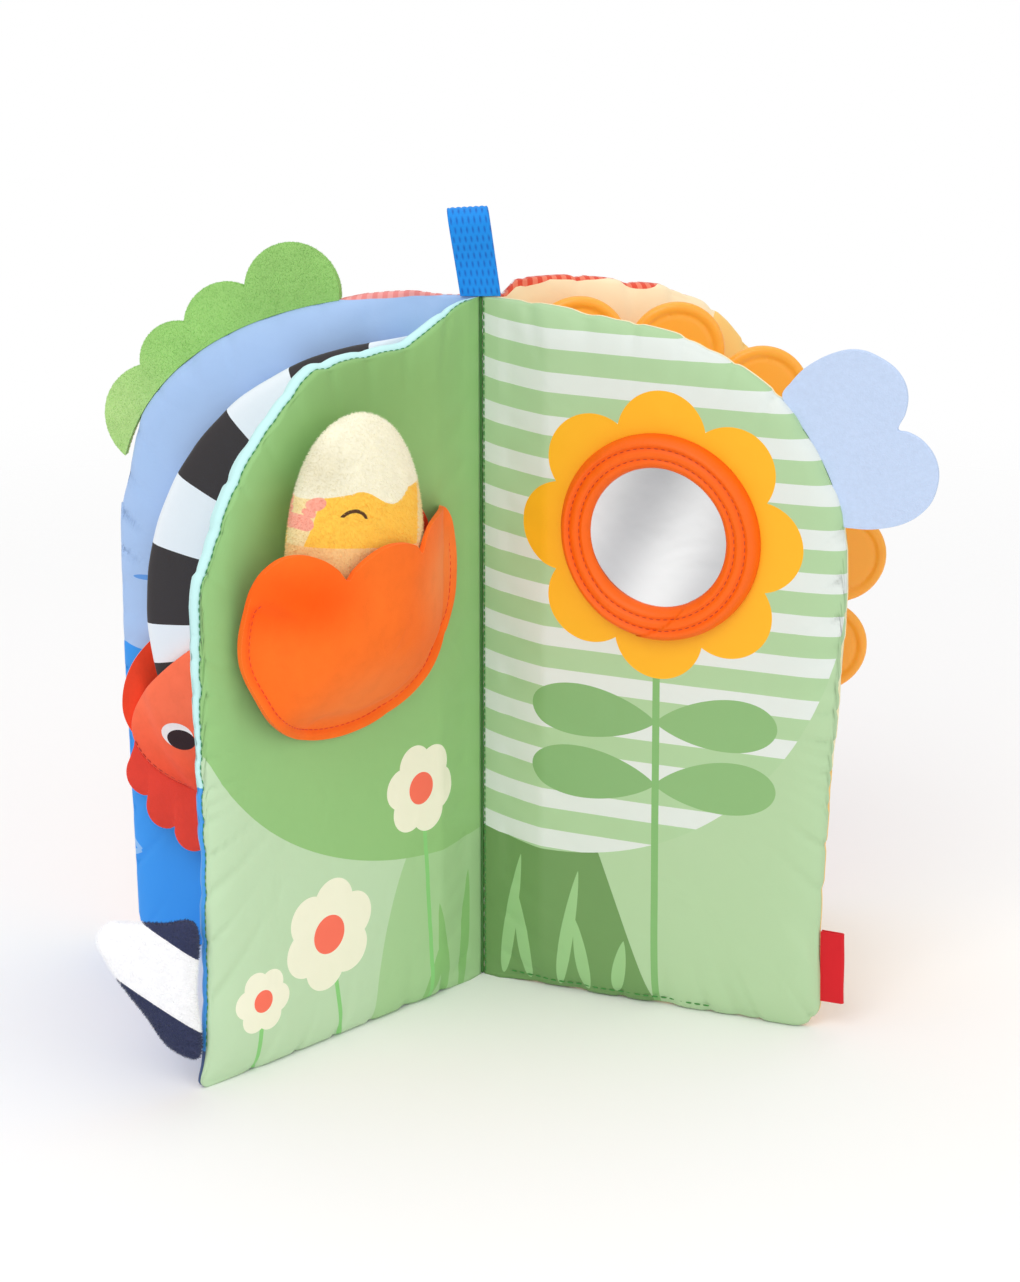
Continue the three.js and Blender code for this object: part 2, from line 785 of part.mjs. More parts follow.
// A moulded teether: round lobes in a C, each with a raised ring, on a flat band with two tabs at the spine.
function teetherGeometry() {
  const { radius, lobeRadius, halfThickness: half, ridge, bandWidth, bandInsideShare } = teether;
  const { outerFoot, outerTop, innerTop, innerFoot } = lobeRidgeShares;
  const rim = half / 2;
  const face = [
    [lobeRadius, rim],
    [lobeRadius - rim, half],
    [lobeRadius * outerFoot, half],
    [lobeRadius * outerTop, half + ridge],
    [lobeRadius * innerTop, half + ridge],
    [lobeRadius * innerFoot, half - ridge],
    [0, half - ridge],
  ];
  const otherFace = face.map(([r, y]) => [r, -y]).reverse();
  const profile = [...otherFace, ...face].map(([r, y]) => new THREE.Vector2(r, y));
  const reach = ((teether.lobes - 1) / 2) * teether.pitchDegrees;
  const middle = teether.middleDegrees;
  const band = new THREE.Shape();
  const inner = radius - bandWidth * bandInsideShare;
  const outer = radius + bandWidth * (1 - bandInsideShare);
  band.absarc(0, 0, outer, degrees(middle - reach), degrees(middle + reach), false);
  band.absarc(0, 0, inner, degrees(middle + reach), degrees(middle - reach), true);
  const depth = 2 * half * teether.bandThicknessShare;
  const strip = new THREE.ExtrudeGeometry(band, { depth, bevelEnabled: false, curveSegments: roundSteps });
  strip.translate(0, 0, -depth / 2).rotateX(Math.PI / 2);
  let body = solidOf(strip);
  for (let i = 0; i < teether.lobes; i++) {
    const turn = degrees(middle - reach + i * teether.pitchDegrees);
    const lobe = new THREE.LatheGeometry(profile, 20);
    lobe.translate(radius * Math.cos(turn), 0, radius * Math.sin(turn));
    body = body.add(solidOf(turnedOut(lobe)));
  }
  for (const end of [-1, 1]) {
    const turn = degrees(middle + end * reach);
    const tabEnd = leaf.hemStart - teether.r + clearance;
    const tabStart = radius * Math.cos(turn);
    const tab = new THREE.BoxGeometry(tabStart - tabEnd, teether.tabThickness, teether.tabWidth);
    tab.translate((tabStart + tabEnd) / 2, 0, radius * Math.sin(turn));
    body = body.add(solidOf(tab));
  }
  return geometryOf(body.translate([teether.r, 0, teether.z]));
}

// The slider's skirt: one sheet below the crease, scalloped along its lower edge, draped over the track.
function skirtGeometry() {
  const { halfWidth, drop, skirt } = slider;
  const columns = slider.lobes * slider.stepsPerLobe;
  const rows = 3;
  const sheet = (lift) => {
    const grid = [];
    for (let i = 0; i <= columns; i++) {
      const along = i / columns;
      const turn = degrees(slider.skirtFromDegrees + (slider.skirtToDegrees - slider.skirtFromDegrees) * along);
      const scallop = slider.lobeDepth * Math.abs(Math.sin(Math.PI * slider.lobes * along)) ** 0.6;
      const column = [];
      for (let j = 0; j <= rows; j++) {
        const share = j / rows;
        const across = halfWidth + clearance + (slider.skirtHalfWidth + scallop - halfWidth) * share;
        const down = drop + clearance + (slider.skirtDrop + scallop - drop) * share;
        const r = sliderPlace.r + across * Math.cos(turn);
        const z = sliderPlace.z + down * Math.sin(turn);
        column.push(new THREE.Vector3(r, trackOffset + clearance / 2 + overTrack(r, z) + lift, z));
      }
      grid.push(column);
    }
    return grid;
  };
  return gridBody(sheet(skirt), sheet(0));
}

const book = new THREE.Group();

const spineTape = new THREE.CylinderGeometry(spine.radius, spine.radius, leaf.height, 16);
spineTape.rotateX(Math.PI / 2).translate(0, 0, leaf.height / 2);
book.add(named("spine_seam_tape", spineTape, cloth.binding));

const loop = named("webbing_loop", webbingGeometry(), cloth.webbing);
loop.rotation.y = -degrees(webbing.leanDegrees);
loop.position.z = leaf.height + clearance + (webbing.width / 2) * Math.sin(degrees(webbing.leanDegrees));
book.add(loop);

const mirrorLeaf = makeLeaf(
  "mirror_leaf",
  openingDegrees.mirrorLeaf,
  ["back_panel", cloth.cream],
  ["front_panel", cloth.meadow],
);
mirrorLeaf.add(named("mirror_disc", mirrorGeometry(), cloth.silver));
mirrorLeaf.add(named("mirror_ring", mirrorRingGeometry(), cloth.vinyl));
mirrorLeaf.add(named("cloud_flap", scallopGeometry(cloud), cloth.felt));
mirrorLeaf.add(named("side_tag", tagGeometry(), cloth.ribbon));
book.add(mirrorLeaf);

const chickLeaf = makeLeaf(
  "chick_leaf",
  openingDegrees.chickLeaf,
  ["front_panel", cloth.meadow],
  ["back_panel", cloth.sea],
);
chickLeaf.add(named("flower_pocket", pocketGeometry(), cloth.velour));
chickLeaf.add(named("flower_back_petal", backPetalGeometry(), cloth.coral));
chickLeaf.add(named("chick", chickGeometry(), cloth.chick));
const tailMesh = named("plush_tail", tailGeometry(), cloth.navy);
tailMesh.position.x = leaf.width * drawnShare(tail.rootLow) + clearance + tail.seam;
tailMesh.rotation.z = -degrees(tail.bendDegrees);
chickLeaf.add(tailMesh);
book.add(chickLeaf);

const seaCover = makeLeaf(
  "sea_cover",
  openingDegrees.seaCover,
  ["inner_panel", cloth.sky],
  ["outer_panel", cloth.gingham],
);
seaCover.add(named("striped_track", trackGeometry(), cloth.stripes));
seaCover.add(named("slider_front", sliderFrontGeometry(), cloth.coral));
seaCover.add(named("slider_back", sliderBackGeometry(), cloth.coral));
seaCover.add(named("slider_skirt", skirtGeometry(), cloth.coral));
seaCover.add(named("bush_flap", scallopGeometry(bush), cloth.plush));
book.add(seaCover);

const sunCover = makeLeaf(
  "sun_cover",
  openingDegrees.sunCover,
  ["outer_panel", cloth.gingham],
  ["inner_panel", cloth.peach],
);
book.add(sunCover);

const teetherPage = named("teether_ring", teetherGeometry(), cloth.silicone);
teetherPage.rotation.z = degrees(openingDegrees.teether);
book.add(teetherPage);

export default book;
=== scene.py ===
"""A baby's soft book: padded fabric leaves standing fanned open round one spine."""

from __future__ import annotations

import logging
import math
from dataclasses import dataclass, field
from enum import Enum
from typing import Callable, Iterable, Sequence

import bmesh
import bpy
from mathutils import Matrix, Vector, noise


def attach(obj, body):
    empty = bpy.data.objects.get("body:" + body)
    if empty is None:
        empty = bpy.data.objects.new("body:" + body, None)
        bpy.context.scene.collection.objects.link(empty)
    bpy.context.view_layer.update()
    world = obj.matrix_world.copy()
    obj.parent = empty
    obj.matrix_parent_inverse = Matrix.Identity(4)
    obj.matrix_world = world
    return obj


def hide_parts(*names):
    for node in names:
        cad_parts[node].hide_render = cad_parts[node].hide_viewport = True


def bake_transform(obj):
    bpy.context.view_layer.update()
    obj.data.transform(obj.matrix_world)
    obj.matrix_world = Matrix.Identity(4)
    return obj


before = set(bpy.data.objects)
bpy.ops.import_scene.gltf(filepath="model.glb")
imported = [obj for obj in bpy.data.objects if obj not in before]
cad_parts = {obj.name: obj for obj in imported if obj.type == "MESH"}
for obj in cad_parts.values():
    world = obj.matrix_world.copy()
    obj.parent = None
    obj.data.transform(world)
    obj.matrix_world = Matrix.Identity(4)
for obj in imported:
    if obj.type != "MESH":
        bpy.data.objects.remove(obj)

log = logging.getLogger("soft_book")

MM = 0.001
PAGE_SPAN = 250.0  # millimetres of page from 0 to 1 in a piece's page map
CLEARANCE = 0.3  # millimetres between neighbouring pieces
GINGHAM_PITCH = 3.4
PAGE_MAP = "page"
TOP_MAP = "below_top"  # how far each point lies below its leaf's top edge
PILE_SEED = 7
SHEEN_ROUGHNESS = 0.4
COAT_ROUGHNESS = 0.12
SCATTER_DEPTH = 0.002  # metres

Place = tuple[float, float]
Knots = tuple[Place, ...]
Corners = tuple[int, ...]
Offset = Callable[[float, float, float], float]  # a face's offset at a place, with its ring's share
Look = bpy.types.Material
Piece = bpy.types.Object
Shade = bpy.types.NodeSocket
Tree = bpy.types.NodeTree


class Face(Enum):
    """A leaf's two faces, by the side of its own frame that they look to."""

    TOWARDS_Y = 1
    AWAY_FROM_Y = -1


# Blender helpers


def srgb(code: str) -> tuple[float, float, float, float]:
    """Turns an sRGB hex value to a linear colour.

    Args:
        code: the hex value.

    Returns:
        Red, green, blue and 1.
    """
    parts = [int(code[i : i + 2], 16) / 255 for i in (1, 3, 5)]
    linear = [c / 12.92 if c <= 0.04045 else ((c + 0.055) / 1.055) ** 2.4 for c in parts]
    return (*linear, 1.0)


def add_node(
    tree: Tree, kind: str, settings: dict[str, object] | None = None,
    links: dict[str | int, object] | None = None
) -> bpy.types.Node:
    """Adds one node to a tree.

    Args:
        tree: the tree that gets the node.
        kind: Blender's name of the node's type.
        settings: the node's own properties.
        links: for each input, an output to link to it or a value to set on it.

    Returns:
        The node.
    """
    node = tree.nodes.new(kind)
    for name, value in (settings or {}).items():
        setattr(node, name, value)
    for name, value in (links or {}).items():
        if isinstance(value, bpy.types.NodeSocket):
            tree.links.new(value, node.inputs[name])
        else:
            node.inputs[name].default_value = value
    return node


def smoothstep(low: float, high: float, value: float) -> float:
    """Rises from 0 at low to 1 at high, with soft ends."""
    share = min(1.0, max(0.0, (value - low) / (high - low)))
    return share * share * (3 - 2 * share)


def turned(x: float, y: float, turn: float) -> Place:
    """A place turned round the origin by an angle in radians."""
    return (x * math.cos(turn) - y * math.sin(turn), x * math.sin(turn) + y * math.cos(turn))


def round_place(centre: Place, radius: float, turn: float) -> Place:
    """The place at a radius and an angle in radians round a centre."""
    return (centre[0] + radius * math.cos(turn), centre[1] + radius * math.sin(turn))


def part_way(start: Place, end: Place, share: float) -> Place:
    """The place at a share of the way from one place to another."""
    return (start[0] + share * (end[0] - start[0]), start[1] + share * (end[1] - start[1]))


def dome_shares(count: int) -> list[float]:
    """Shares from the middle to the rim, closer together where a dome falls off at its rim."""
    return [math.sin(math.pi / 2 * k / count) for k in range(1, count + 1)]


def dome(share: float) -> float:
    """A dome's height at a share of the way to its rim."""
    return math.sqrt(max(0.0, 1 - share**2))


def rough(x: float, y: float, z: float) -> float:
    """Smooth noise from about -1 to 1, the same in each run."""
    return noise.noise(Vector((x, y, z)))


def added(name: str, data: bpy.types.ID) -> Piece:
    """Adds data to the scene as an object at the origin.

    Args:
        name: the object's name.
        data: its mesh, lamp or camera.

    Returns:
        The object.
    """
    made = bpy.data.objects.new(name, data)
    bpy.context.scene.collection.objects.link(made)
    return made


def mesh_object(
    name: str, points: Sequence[Vector], faces: Sequence[Sequence[int]], looks: Sequence[Look],
    page: Sequence[Place] | None = None
) -> Piece:
    """Makes a smooth mesh object whose faces point out.

    Args:
        name: the piece's name.
        points: its points in millimetres, in the frame's axes.
        faces: the points of each face.
        looks: its materials.
        page: each point's place on its page in millimetres.

    Returns:
        The object, at the origin.
    """
    mesh = bpy.data.meshes.new(name)
    mesh.from_pydata([p * MM for p in points], [], faces)
    if page is not None:
        corners = [0] * len(mesh.loops)
        mesh.loops.foreach_get("vertex_index", corners)
        layer = mesh.uv_layers.new(name=PAGE_MAP)
        spread = [c / PAGE_SPAN for corner in corners for c in page[corner]]
        layer.data.foreach_set("uv", spread)
    solid = bmesh.new()
    solid.from_mesh(mesh)
    bmesh.ops.recalc_face_normals(solid, faces=solid.faces)
    solid.to_mesh(mesh)
    solid.free()
    mesh.shade_smooth()
    for look in looks:
        mesh.materials.append(look)
    return added(name, mesh)


def plain_mesh(made: Piece) -> Piece:
    """Turns an object's modifiers into its own mesh.

    Args:
        made: the piece.

    Returns:
        The same piece.
    """
    graph = bpy.context.evaluated_depsgraph_get()
    mesh = bpy.data.meshes.new_from_object(made.evaluated_get(graph))
    made.modifiers.clear()
    made.data = mesh
    mesh.name = made.name
    return made


def settle(made: Piece, body: str, nodes: Iterable[str] = ()) -> Piece:
    """Says what a piece rides on and which nodes it stands for.

    Args:
        made: the piece.
        body: the body that it rides on.
        nodes: the CAD nodes that it stands for.

    Returns:
        The same piece.
    """
    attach(made, body)
    if nodes:
        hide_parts(*nodes)
    log.info("%s rides on %s", made.name, body)
    return made


def joined_meshes(name: str, parts: Sequence[Piece], look: Look) -> Piece:
    """Joins several pieces to one.

    Args:
        name: the new piece's name.
        parts: the pieces, which are used up.
        look: the new piece's material.

    Returns:
        The new piece.
    """
    joined = bmesh.new()
    for part in parts:
        joined.from_mesh(part.data)
        mesh = part.data
        bpy.data.objects.remove(part)
        bpy.data.meshes.remove(mesh)
    mesh = bpy.data.meshes.new(name)
    joined.to_mesh(mesh)
    joined.free()
    mesh.materials.append(look)
    return added(name, mesh)


def soften_edges(made: Piece, width: float, segments: int = 3, rim: Look | None = None) -> Piece:
    """Rounds a cut piece's edges, as fabric rounds over at a cut.

    Args:
        made: the piece.
        width: the rounding's width in millimetres.
        segments: the faces across the rounding.
        rim: the cut edge's own material, if it has one.

    Returns:
        The same piece.
    """
    bevel = made.modifiers.new("edge", "BEVEL")
    bevel.width = width * MM
    bevel.segments = segments
    bevel.limit_method = "ANGLE"
    bevel.angle_limit = math.radians(40)
    if rim:
        made.data.materials.append(rim)
        bevel.material = len(made.data.materials) - 1
    return made


def between(a: Vector, b: Vector, start: float, end: float, time: float) -> Vector:
    """The place at a time between two places, each with its own time."""
    return a * ((end - time) / (end - start)) + b * ((time - start) / (end - start))


def loop_curve(knots: Sequence[Place], count: int) -> list[Place]:
    """Samples a smooth closed curve through knots (a centripetal Catmull-Rom) at even steps.

    Args:
        knots: the curve's knots.
        count: how many places to return.

    Returns:
        The places, in order round the curve.
    """
    dense: list[Place] = []
    total = len(knots)
    for i in range(total):
        four = [Vector(knots[(i + k - 1) % total]) for k in range(4)]
        times = [0.0]
        for a, b in zip(four, four[1:]):
            times.append(times[-1] + (b - a).length ** 0.5)
        for s in range(24):
            t = times[1] + (times[2] - times[1]) * s / 24
            first = [between(four[k], four[k + 1], times[k], times[k + 1], t) for k in range(3)]
            second = [between(first[k], first[k + 1], times[k], times[k + 2], t) for k in range(2)]
            place = between(second[0], second[1], times[1], times[2], t)
            dense.append((place.x, place.y))
    return even_steps(dense + dense[:1], count)[:-1]


def even_steps(path: Sequence[Place], count: int) -> list[Place]:
    """Resamples an open path at count even steps, both ends included.

    Args:
        path: the path's places.
        count: how many steps.

    Returns:
        The places.
    """
    lengths = [0.0]
    for a, b in zip(path, path[1:]):
        lengths.append(lengths[-1] + math.dist(a, b))
    made: list[Place] = []
    k = 0
    for i in range(count + 1):
        target = lengths[-1] * i / count
        while k < len(path) - 2 and lengths[k + 1] < target:
            k += 1
        span = lengths[k + 1] - lengths[k] or 1.0
        share = (target - lengths[k]) / span
        made.append(part_way(path[k], path[k + 1], share))
    return made


def slab_faces(columns: int, rows: int) -> list[Corners]:
    """Faces of a body between two grids of points, each of columns by rows points.

    Args:
        columns: points across; the second grid's points follow the first's.
        rows: points in each column.

    Returns:
        The faces.
    """
    faces: list[Corners] = []
    under = columns * rows
    for i in range(columns - 1):
        a, b = i * rows, (i + 1) * rows
        for j in range(rows - 1):
            faces.append((a + j, b + j, b + j + 1, a + j + 1))
            faces.append((under + a + j, under + a + j + 1, under + b + j + 1, under + b + j))
        for j in (0, rows - 1):
            faces.append((a + j, under + a + j, under + b + j, b + j))
    for a in (0, (columns - 1) * rows):
        for j in range(rows - 1):
            faces.append((a + j, a + j + 1, under + a + j + 1, under + a + j))
    return faces


def ring_faces(around: int, rings: int) -> list[Corners]:
    """Faces of a body with a middle point and rings on both sides, closed round its outline.

    Args:
        around: points in each ring.
        rings: rings on each side.

    Returns:
        The faces; each side's middle point comes before its rings.
    """
    faces: list[Corners] = []
    side = 1 + around * rings
    for s in range(around):
        n = (s + 1) % around
        for start in (0, side):
            faces.append((start, start + 1 + s, start + 1 + n))
            for k in range(rings - 1):
                low, high = start + 1 + k * around, start + 1 + (k + 1) * around
                faces.append((low + s, high + s, high + n, low + n))
        last = 1 + (rings - 1) * around
        faces.append((last + s, side + last + s, side + last + n, last + n))
    return faces


def tube_faces(rows: int, sides: int, closed: bool = False, ends: bool = True) -> list[Corners]:
    """Faces of a tube that is made of rows of points.

    Args:
        rows: how many rows.
        sides: points in each row.
        closed: whether the last row meets the first.
        ends: whether the two ends get a face, where it isn't closed.

    Returns:
        The faces.
    """
    faces: list[Corners] = []
    for i in range(rows if closed else rows - 1):
        a, b = i * sides, ((i + 1) % rows) * sides
        faces.extend((a + k, b + k, b + (k + 1) % sides, a + (k + 1) % sides) for k in range(sides))
    if ends and not closed:
        faces.append(tuple(range(sides)))
        faces.append(tuple(range((rows - 1) * sides, rows * sides)))
    return faces


# Finishes


@dataclass(frozen=True)
class Finish:
    """What a surface is made of, and how it takes the light. Sizes are in millimetres."""

    roughness: float
    sheen: float = 0.0
    grain: float = 0.6
    relief: float = 0.04
    mottle: float = 0.0
    mottle_size: float = 4.0
    crinkle: float = 0.0
    crinkle_size: float = 16.0
    coat: float = 0.0
    scatter: float = 0.0
    metallic: float = 0.0
    specular: float = 0.5

    def material(self, name: str, paint: str | Callable[["PagePrint"], None]) -> Look:
        """Makes a material of this finish.

        Args:
            name: the material's name.
            paint: a hex value, or what draws the colour on the piece's page.

        Returns:
            The material.
        """
        look = bpy.data.materials.new(name)
        look.use_nodes = True
        tree = look.node_tree
        tree.nodes.clear()
        place = add_node(tree, "ShaderNodeTexCoord").outputs["Object"]
        links: dict[str | int, object] = {
            "Roughness": self.roughness, "Metallic": self.metallic, "Specular IOR Level": self.specular,
            "Sheen Weight": self.sheen, "Sheen Roughness": SHEEN_ROUGHNESS, "Coat Weight": self.coat,
            "Coat Roughness": COAT_ROUGHNESS, "Subsurface Weight": self.scatter,
            "Subsurface Scale": SCATTER_DEPTH
        }
        if callable(paint):
            page = PagePrint(tree)
            paint(page)
            links["Base Color"] = self._mottled(tree, place, page.colour)
        elif self.mottle:
            flat = add_node(tree, "ShaderNodeRGB")
            flat.outputs[0].default_value = srgb(paint)
            links["Base Color"] = self._mottled(tree, place, flat.outputs[0])
        else:
            links["Base Color"] = srgb(paint)
        links["Normal"] = self._relief(tree, place)
        shader = add_node(tree, "ShaderNodeBsdfPrincipled", links=links)
        add_node(tree, "ShaderNodeOutputMaterial", links={"Surface": shader.outputs[0]})
        return look

    def _mottled(self, tree: Tree, place: Shade, colour: Shade) -> Shade:
        """Lightens and darkens a colour in soft patches, as a pile lies this way and that.

        Args:
            tree: the material's tree.
            place: the place on the piece.
            colour: the colour to vary.

        Returns:
            The varied colour.
        """
        if not self.mottle:
            return colour
        links = {"Vector": place, "Scale": 1 / (self.mottle_size * MM), "Detail": 3.0, "Roughness": 0.65}
        patches = add_node(tree, "ShaderNodeTexNoise", links=links)
        level = add_node(
            tree, "ShaderNodeMapRange",
            links={
                "Value": patches.outputs[0], "From Min": 0.3, "From Max": 0.7, "To Min": 1 - self.mottle,
                "To Max": 1 + self.mottle
            }
        )
        shaded = add_node(tree, "ShaderNodeHueSaturation", links={"Value": level.outputs[0], "Color": colour})
        return shaded.outputs[0]

    def _relief(self, tree: Tree, place: Shade) -> Shade:
        """Makes the surface's fine texture, with broad soft crinkles under it.

        Args:
            tree: the material's tree.
            place: the place on the piece.

        Returns:
            The shader's normal.
        """
        layers = [(self.grain, self.relief, 0.0)]
        if self.crinkle:
            layers.append((self.crinkle_size, self.crinkle, 0.6))
        normal = None
        for size, depth, warp in layers:
            links = {"Vector": place, "Scale": 1 / (size * MM), "Detail": 2.0, "Distortion": warp}
            height = add_node(tree, "ShaderNodeTexNoise", links=links).outputs[0]
            links = {"Height": height, "Strength": 1.0, "Distance": depth * MM}
            if normal is not None:
                links["Normal"] = normal
            normal = add_node(tree, "ShaderNodeBump", links=links).outputs[0]
        return normal


# Polyester satin, printed and sewn inside out: smooth, with a soft sheen and crinkles at its seams
SATIN = Finish(0.58, sheen=0.12, grain=0.5, relief=0.02, crinkle=0.5, crinkle_size=17)
# Velour: a short dense pile that darkens where it is stroked
VELOUR = Finish(0.85, sheen=0.08, grain=0.45, relief=0.1, mottle=0.045, mottle_size=8, specular=0.1)
# Printed velour of the sea creature: the same short pile, paler
VELOUR_PRINT = Finish(0.8, sheen=0.08, grain=0.5, relief=0.08, mottle=0.05, mottle_size=6, specular=0.1)
# Short plush: a longer pile that clumps
PLUSH = Finish(0.95, sheen=0.25, grain=0.8, relief=0.2, mottle=0.035, mottle_size=3.5)
# Needle felt: matt, matted fibres
FELT = Finish(0.97, sheen=0.1, grain=0.5, relief=0.1, mottle=0.035, mottle_size=1.6)
# Soft vinyl over a foam core: skin with a faint leather grain
VINYL = Finish(0.5, grain=0.5, relief=0.03, mottle=0.03, mottle_size=3, specular=0.35)
# Moulded silicone rubber: smooth, soft gloss, a little light passes in
SILICONE = Finish(0.4, coat=0.1, grain=1.2, relief=0.008, scatter=0.15)
# Spun polyester sewing thread
THREAD = Finish(0.7, sheen=0.2, grain=0.3, relief=0.03)
# Ribbon and knitted tape
RIBBON = Finish(0.6, sheen=0.06, grain=0.35, relief=0.04, specular=0.3)
# Ribbed knit, printed in blocks: fine ribs along the tube
RIBBED = Finish(0.8, sheen=0.15, grain=0.5, relief=0.05)
# Metallised acrylic film: a soft, slightly wavy mirror
MIRROR_FILM = Finish(0.16, metallic=1.0, grain=9, relief=0.03, crinkle=0.25, crinkle_size=30)


class PagePrint:
    """Shapes printed on a page, and painted light and shade, drawn in page millimetres: across from the
    spine, and up from the floor.
    """

    def __init__(self, tree: Tree) -> None:
        """Starts a print in a material's tree.

        Args:
            tree: the material's tree.
        """
        self.tree = tree
        page = add_node(tree, "ShaderNodeAttribute", {"attribute_name": PAGE_MAP})
        self.page = self._vector("SCALE", page.outputs["Vector"], Scale=PAGE_SPAN)
        self.across, self.up = self._split(self.page)
        self.colour: Shade | None = None

    def _split(self, place: Shade) -> tuple[Shade, Shade]:
        """A place's two coordinates."""
        split = add_node(self.tree, "ShaderNodeSeparateXYZ", links={0: place})
        return split.outputs[0], split.outputs[1]

    def _vector(self, operation: str, value: object, **more: object) -> Shade:
        """One step of vector arithmetic."""
        node = add_node(self.tree, "ShaderNodeVectorMath", {"operation": operation}, {0: value, **more})
        return node.outputs["Value" if operation == "LENGTH" else "Vector"]

    def sum(self, operation: str, *values: object) -> Shade:
        """One step of arithmetic, by Blender's name for it."""
        links = dict(enumerate(values))
        return add_node(self.tree, "ShaderNodeMath", {"operation": operation}, links).outputs[0]

    def ground(self, code: str) -> None:
        """Starts with one colour all over.

        Args:
            code: the hex value.
        """
        flat = add_node(self.tree, "ShaderNodeRGB")
        flat.outputs[0].default_value = srgb(code)
        self.colour = flat.outputs[0]

    def lay(self, mask: Shade, code: str) -> None:
        """Lays a colour where the mask is 1.

        Args:
            mask: where the colour lies.
            code: the hex value.
        """
        mixed = add_node(
            self.tree, "ShaderNodeMix", {"data_type": "RGBA"}, {0: mask, 6: self.colour, 7: srgb(code)}
        )
        self.colour = mixed.outputs[2]

    def framed(self, place: Place, size: Place, turn: float = 0.0) -> Shade:
        """The page seen from a shape's own frame, in which it reaches from -1 to 1.

        Args:
            place: the shape's middle.
            size: its half sizes.
            turn: its turn in degrees.

        Returns:
            The place in the shape's frame.
        """
        moved = add_node(
            self.tree, "ShaderNodeMapping", {"vector_type": "TEXTURE"},
            {
                "Vector": self.page, "Location": (*place, 0.0), "Rotation": (0.0, 0.0, math.radians(turn)),
                "Scale": (*size, 1.0)
            }
        )
        return moved.outputs[0]

    def oval(self, place: Place, size: Place, turn: float = 0.0) -> Shade:
        """An oval with the given middle, half sizes and turn."""
        reach = self._vector("LENGTH", self.framed(place, size, turn))
        return self.sum("LESS_THAN", reach, 1.0)

    def _long(self, start: Place, end: Place, width: float) -> Shade:
        """The page seen from the frame of a shape that lies between two places."""
        turn = math.degrees(math.atan2(end[1] - start[1], end[0] - start[0]))
        return self.framed(part_way(start, end, 0.5), (math.dist(start, end) / 2, width / 2), turn)

    def bar(self, start: Place, end: Place, width: float) -> Shade:
        """A straight bar between two places."""
        across, up = self._split(self._vector("ABSOLUTE", self._long(start, end, width)))
        return self.sum("LESS_THAN", self.sum("MAXIMUM", across, up), 1.0)

    def drop(self, tip: Place, end: Place, width: float) -> Shade:
        """A leaf shape, pointed at its tip and round at its far end.

        Args:
            tip: its pointed end.
            end: its round end.
            width: its width.

        Returns:
            The mask.
        """
        along, aside = self._split(self._long(tip, end, width))
        from_tip = self.sum("POWER", self.sum("MAXIMUM", self.sum("ADD", along, 1.0), 0.0), 0.8)
        from_end = self.sum("SQRT", self.sum("MAXIMUM", self.sum("SUBTRACT", 1.0, along), 0.0))
        reach = self.sum("MULTIPLY", self.sum("MULTIPLY", from_tip, from_end), 0.966)
        return self.sum("LESS_THAN", self.sum("ABSOLUTE", aside), reach)

    def blossom(self, place: Place, petals: int, reach: float, petal: float, turn: float = 0.0) -> Shade:
        """Round petals in a ring.

        Args:
            place: the blossom's middle.
            petals: how many petals.
            reach: from its middle to the petals' middles.
            petal: a petal's radius.
            turn: its turn in degrees.

        Returns:
            The mask.
        """
        own = self.framed(place, (1.0, 1.0), turn)
        across, up = self._split(own)
        distance = self._vector("LENGTH", own)
        angle = self.sum("ARCTAN2", up, across)
        sector = 2 * math.pi / petals
        nearest = self.sum("ROUND", self.sum("DIVIDE", angle, sector))
        aside = self.sum("COSINE", self.sum("SUBTRACT", angle, self.sum("MULTIPLY", nearest, sector)))
        cross = self.sum("MULTIPLY", self.sum("MULTIPLY", distance, aside), 2 * reach)
        squared = self.sum("SUBTRACT", self.sum("MULTIPLY_ADD", distance, distance, reach**2), cross)
        in_petal = self.sum("LESS_THAN", squared, petal**2)
        return self.sum("MAXIMUM", in_petal, self.sum("LESS_THAN", distance, reach))

    def stripes(self, along: Shade, first: float, pitch: float, share: float) -> Shade:
        """Even stripes: 1 within share of the pitch round each stripe's middle."""
        phase = self.sum("FRACT", self.sum("MULTIPLY_ADD", along, 1 / pitch, 0.5 - first / pitch + 100))
        return self.sum("LESS_THAN", self.sum("ABSOLUTE", self.sum("SUBTRACT", phase, 0.5)), share / 2)

    def near_top(self, humps: Sequence[tuple[float, float, float]]) -> Shade:
        """Bands along the leaf's own top edge, each deepest in its middle.

        Args:
            humps: each band's middle and half length across the page, and its depth.

        Returns:
            The mask.
        """
        below = add_node(self.tree, "ShaderNodeAttribute", {"attribute_name": TOP_MAP}).outputs["Fac"]
        depth: Shade | float = 0.0
        for middle, half, deepest in humps:
            share = self.sum("MULTIPLY_ADD", self.across, 1 / half, -middle / half)
            hump = self.sum("MULTIPLY_ADD", self.sum("MULTIPLY", share, share), -deepest, deepest)
            depth = self.sum("MAXIMUM", hump, depth)
        return self.sum("LESS_THAN", self.sum("MULTIPLY_ADD", below, PAGE_SPAN, 0.01), depth)

    def glow(self, place: Place, size: Place, turn: float = 0.0) -> Shade:
        """A soft oval patch, 1 in its middle and 0 at its edge.

        Args:
            place: the shape's middle.
            size: its half sizes.
            turn: its turn in degrees.

        Returns:
            The mask.
        """
        reach = self._vector("LENGTH", self.framed(place, size, turn))
        fade = add_node(
            self.tree, "ShaderNodeMapRange", {"interpolation_type": "SMOOTHSTEP"},
            {"Value": reach, "To Min": 1.0, "To Max": 0.0}
        )
        return fade.outputs[0]

    def both(self, first: Shade, second: Shade) -> Shade:
        """Where two masks meet."""
        return self.sum("MULTIPLY", first, second)

    def outside(self, mask: Shade) -> Shade:
        """Where a mask is 0."""
        return self.sum("SUBTRACT", 1.0, mask)


# Sewing


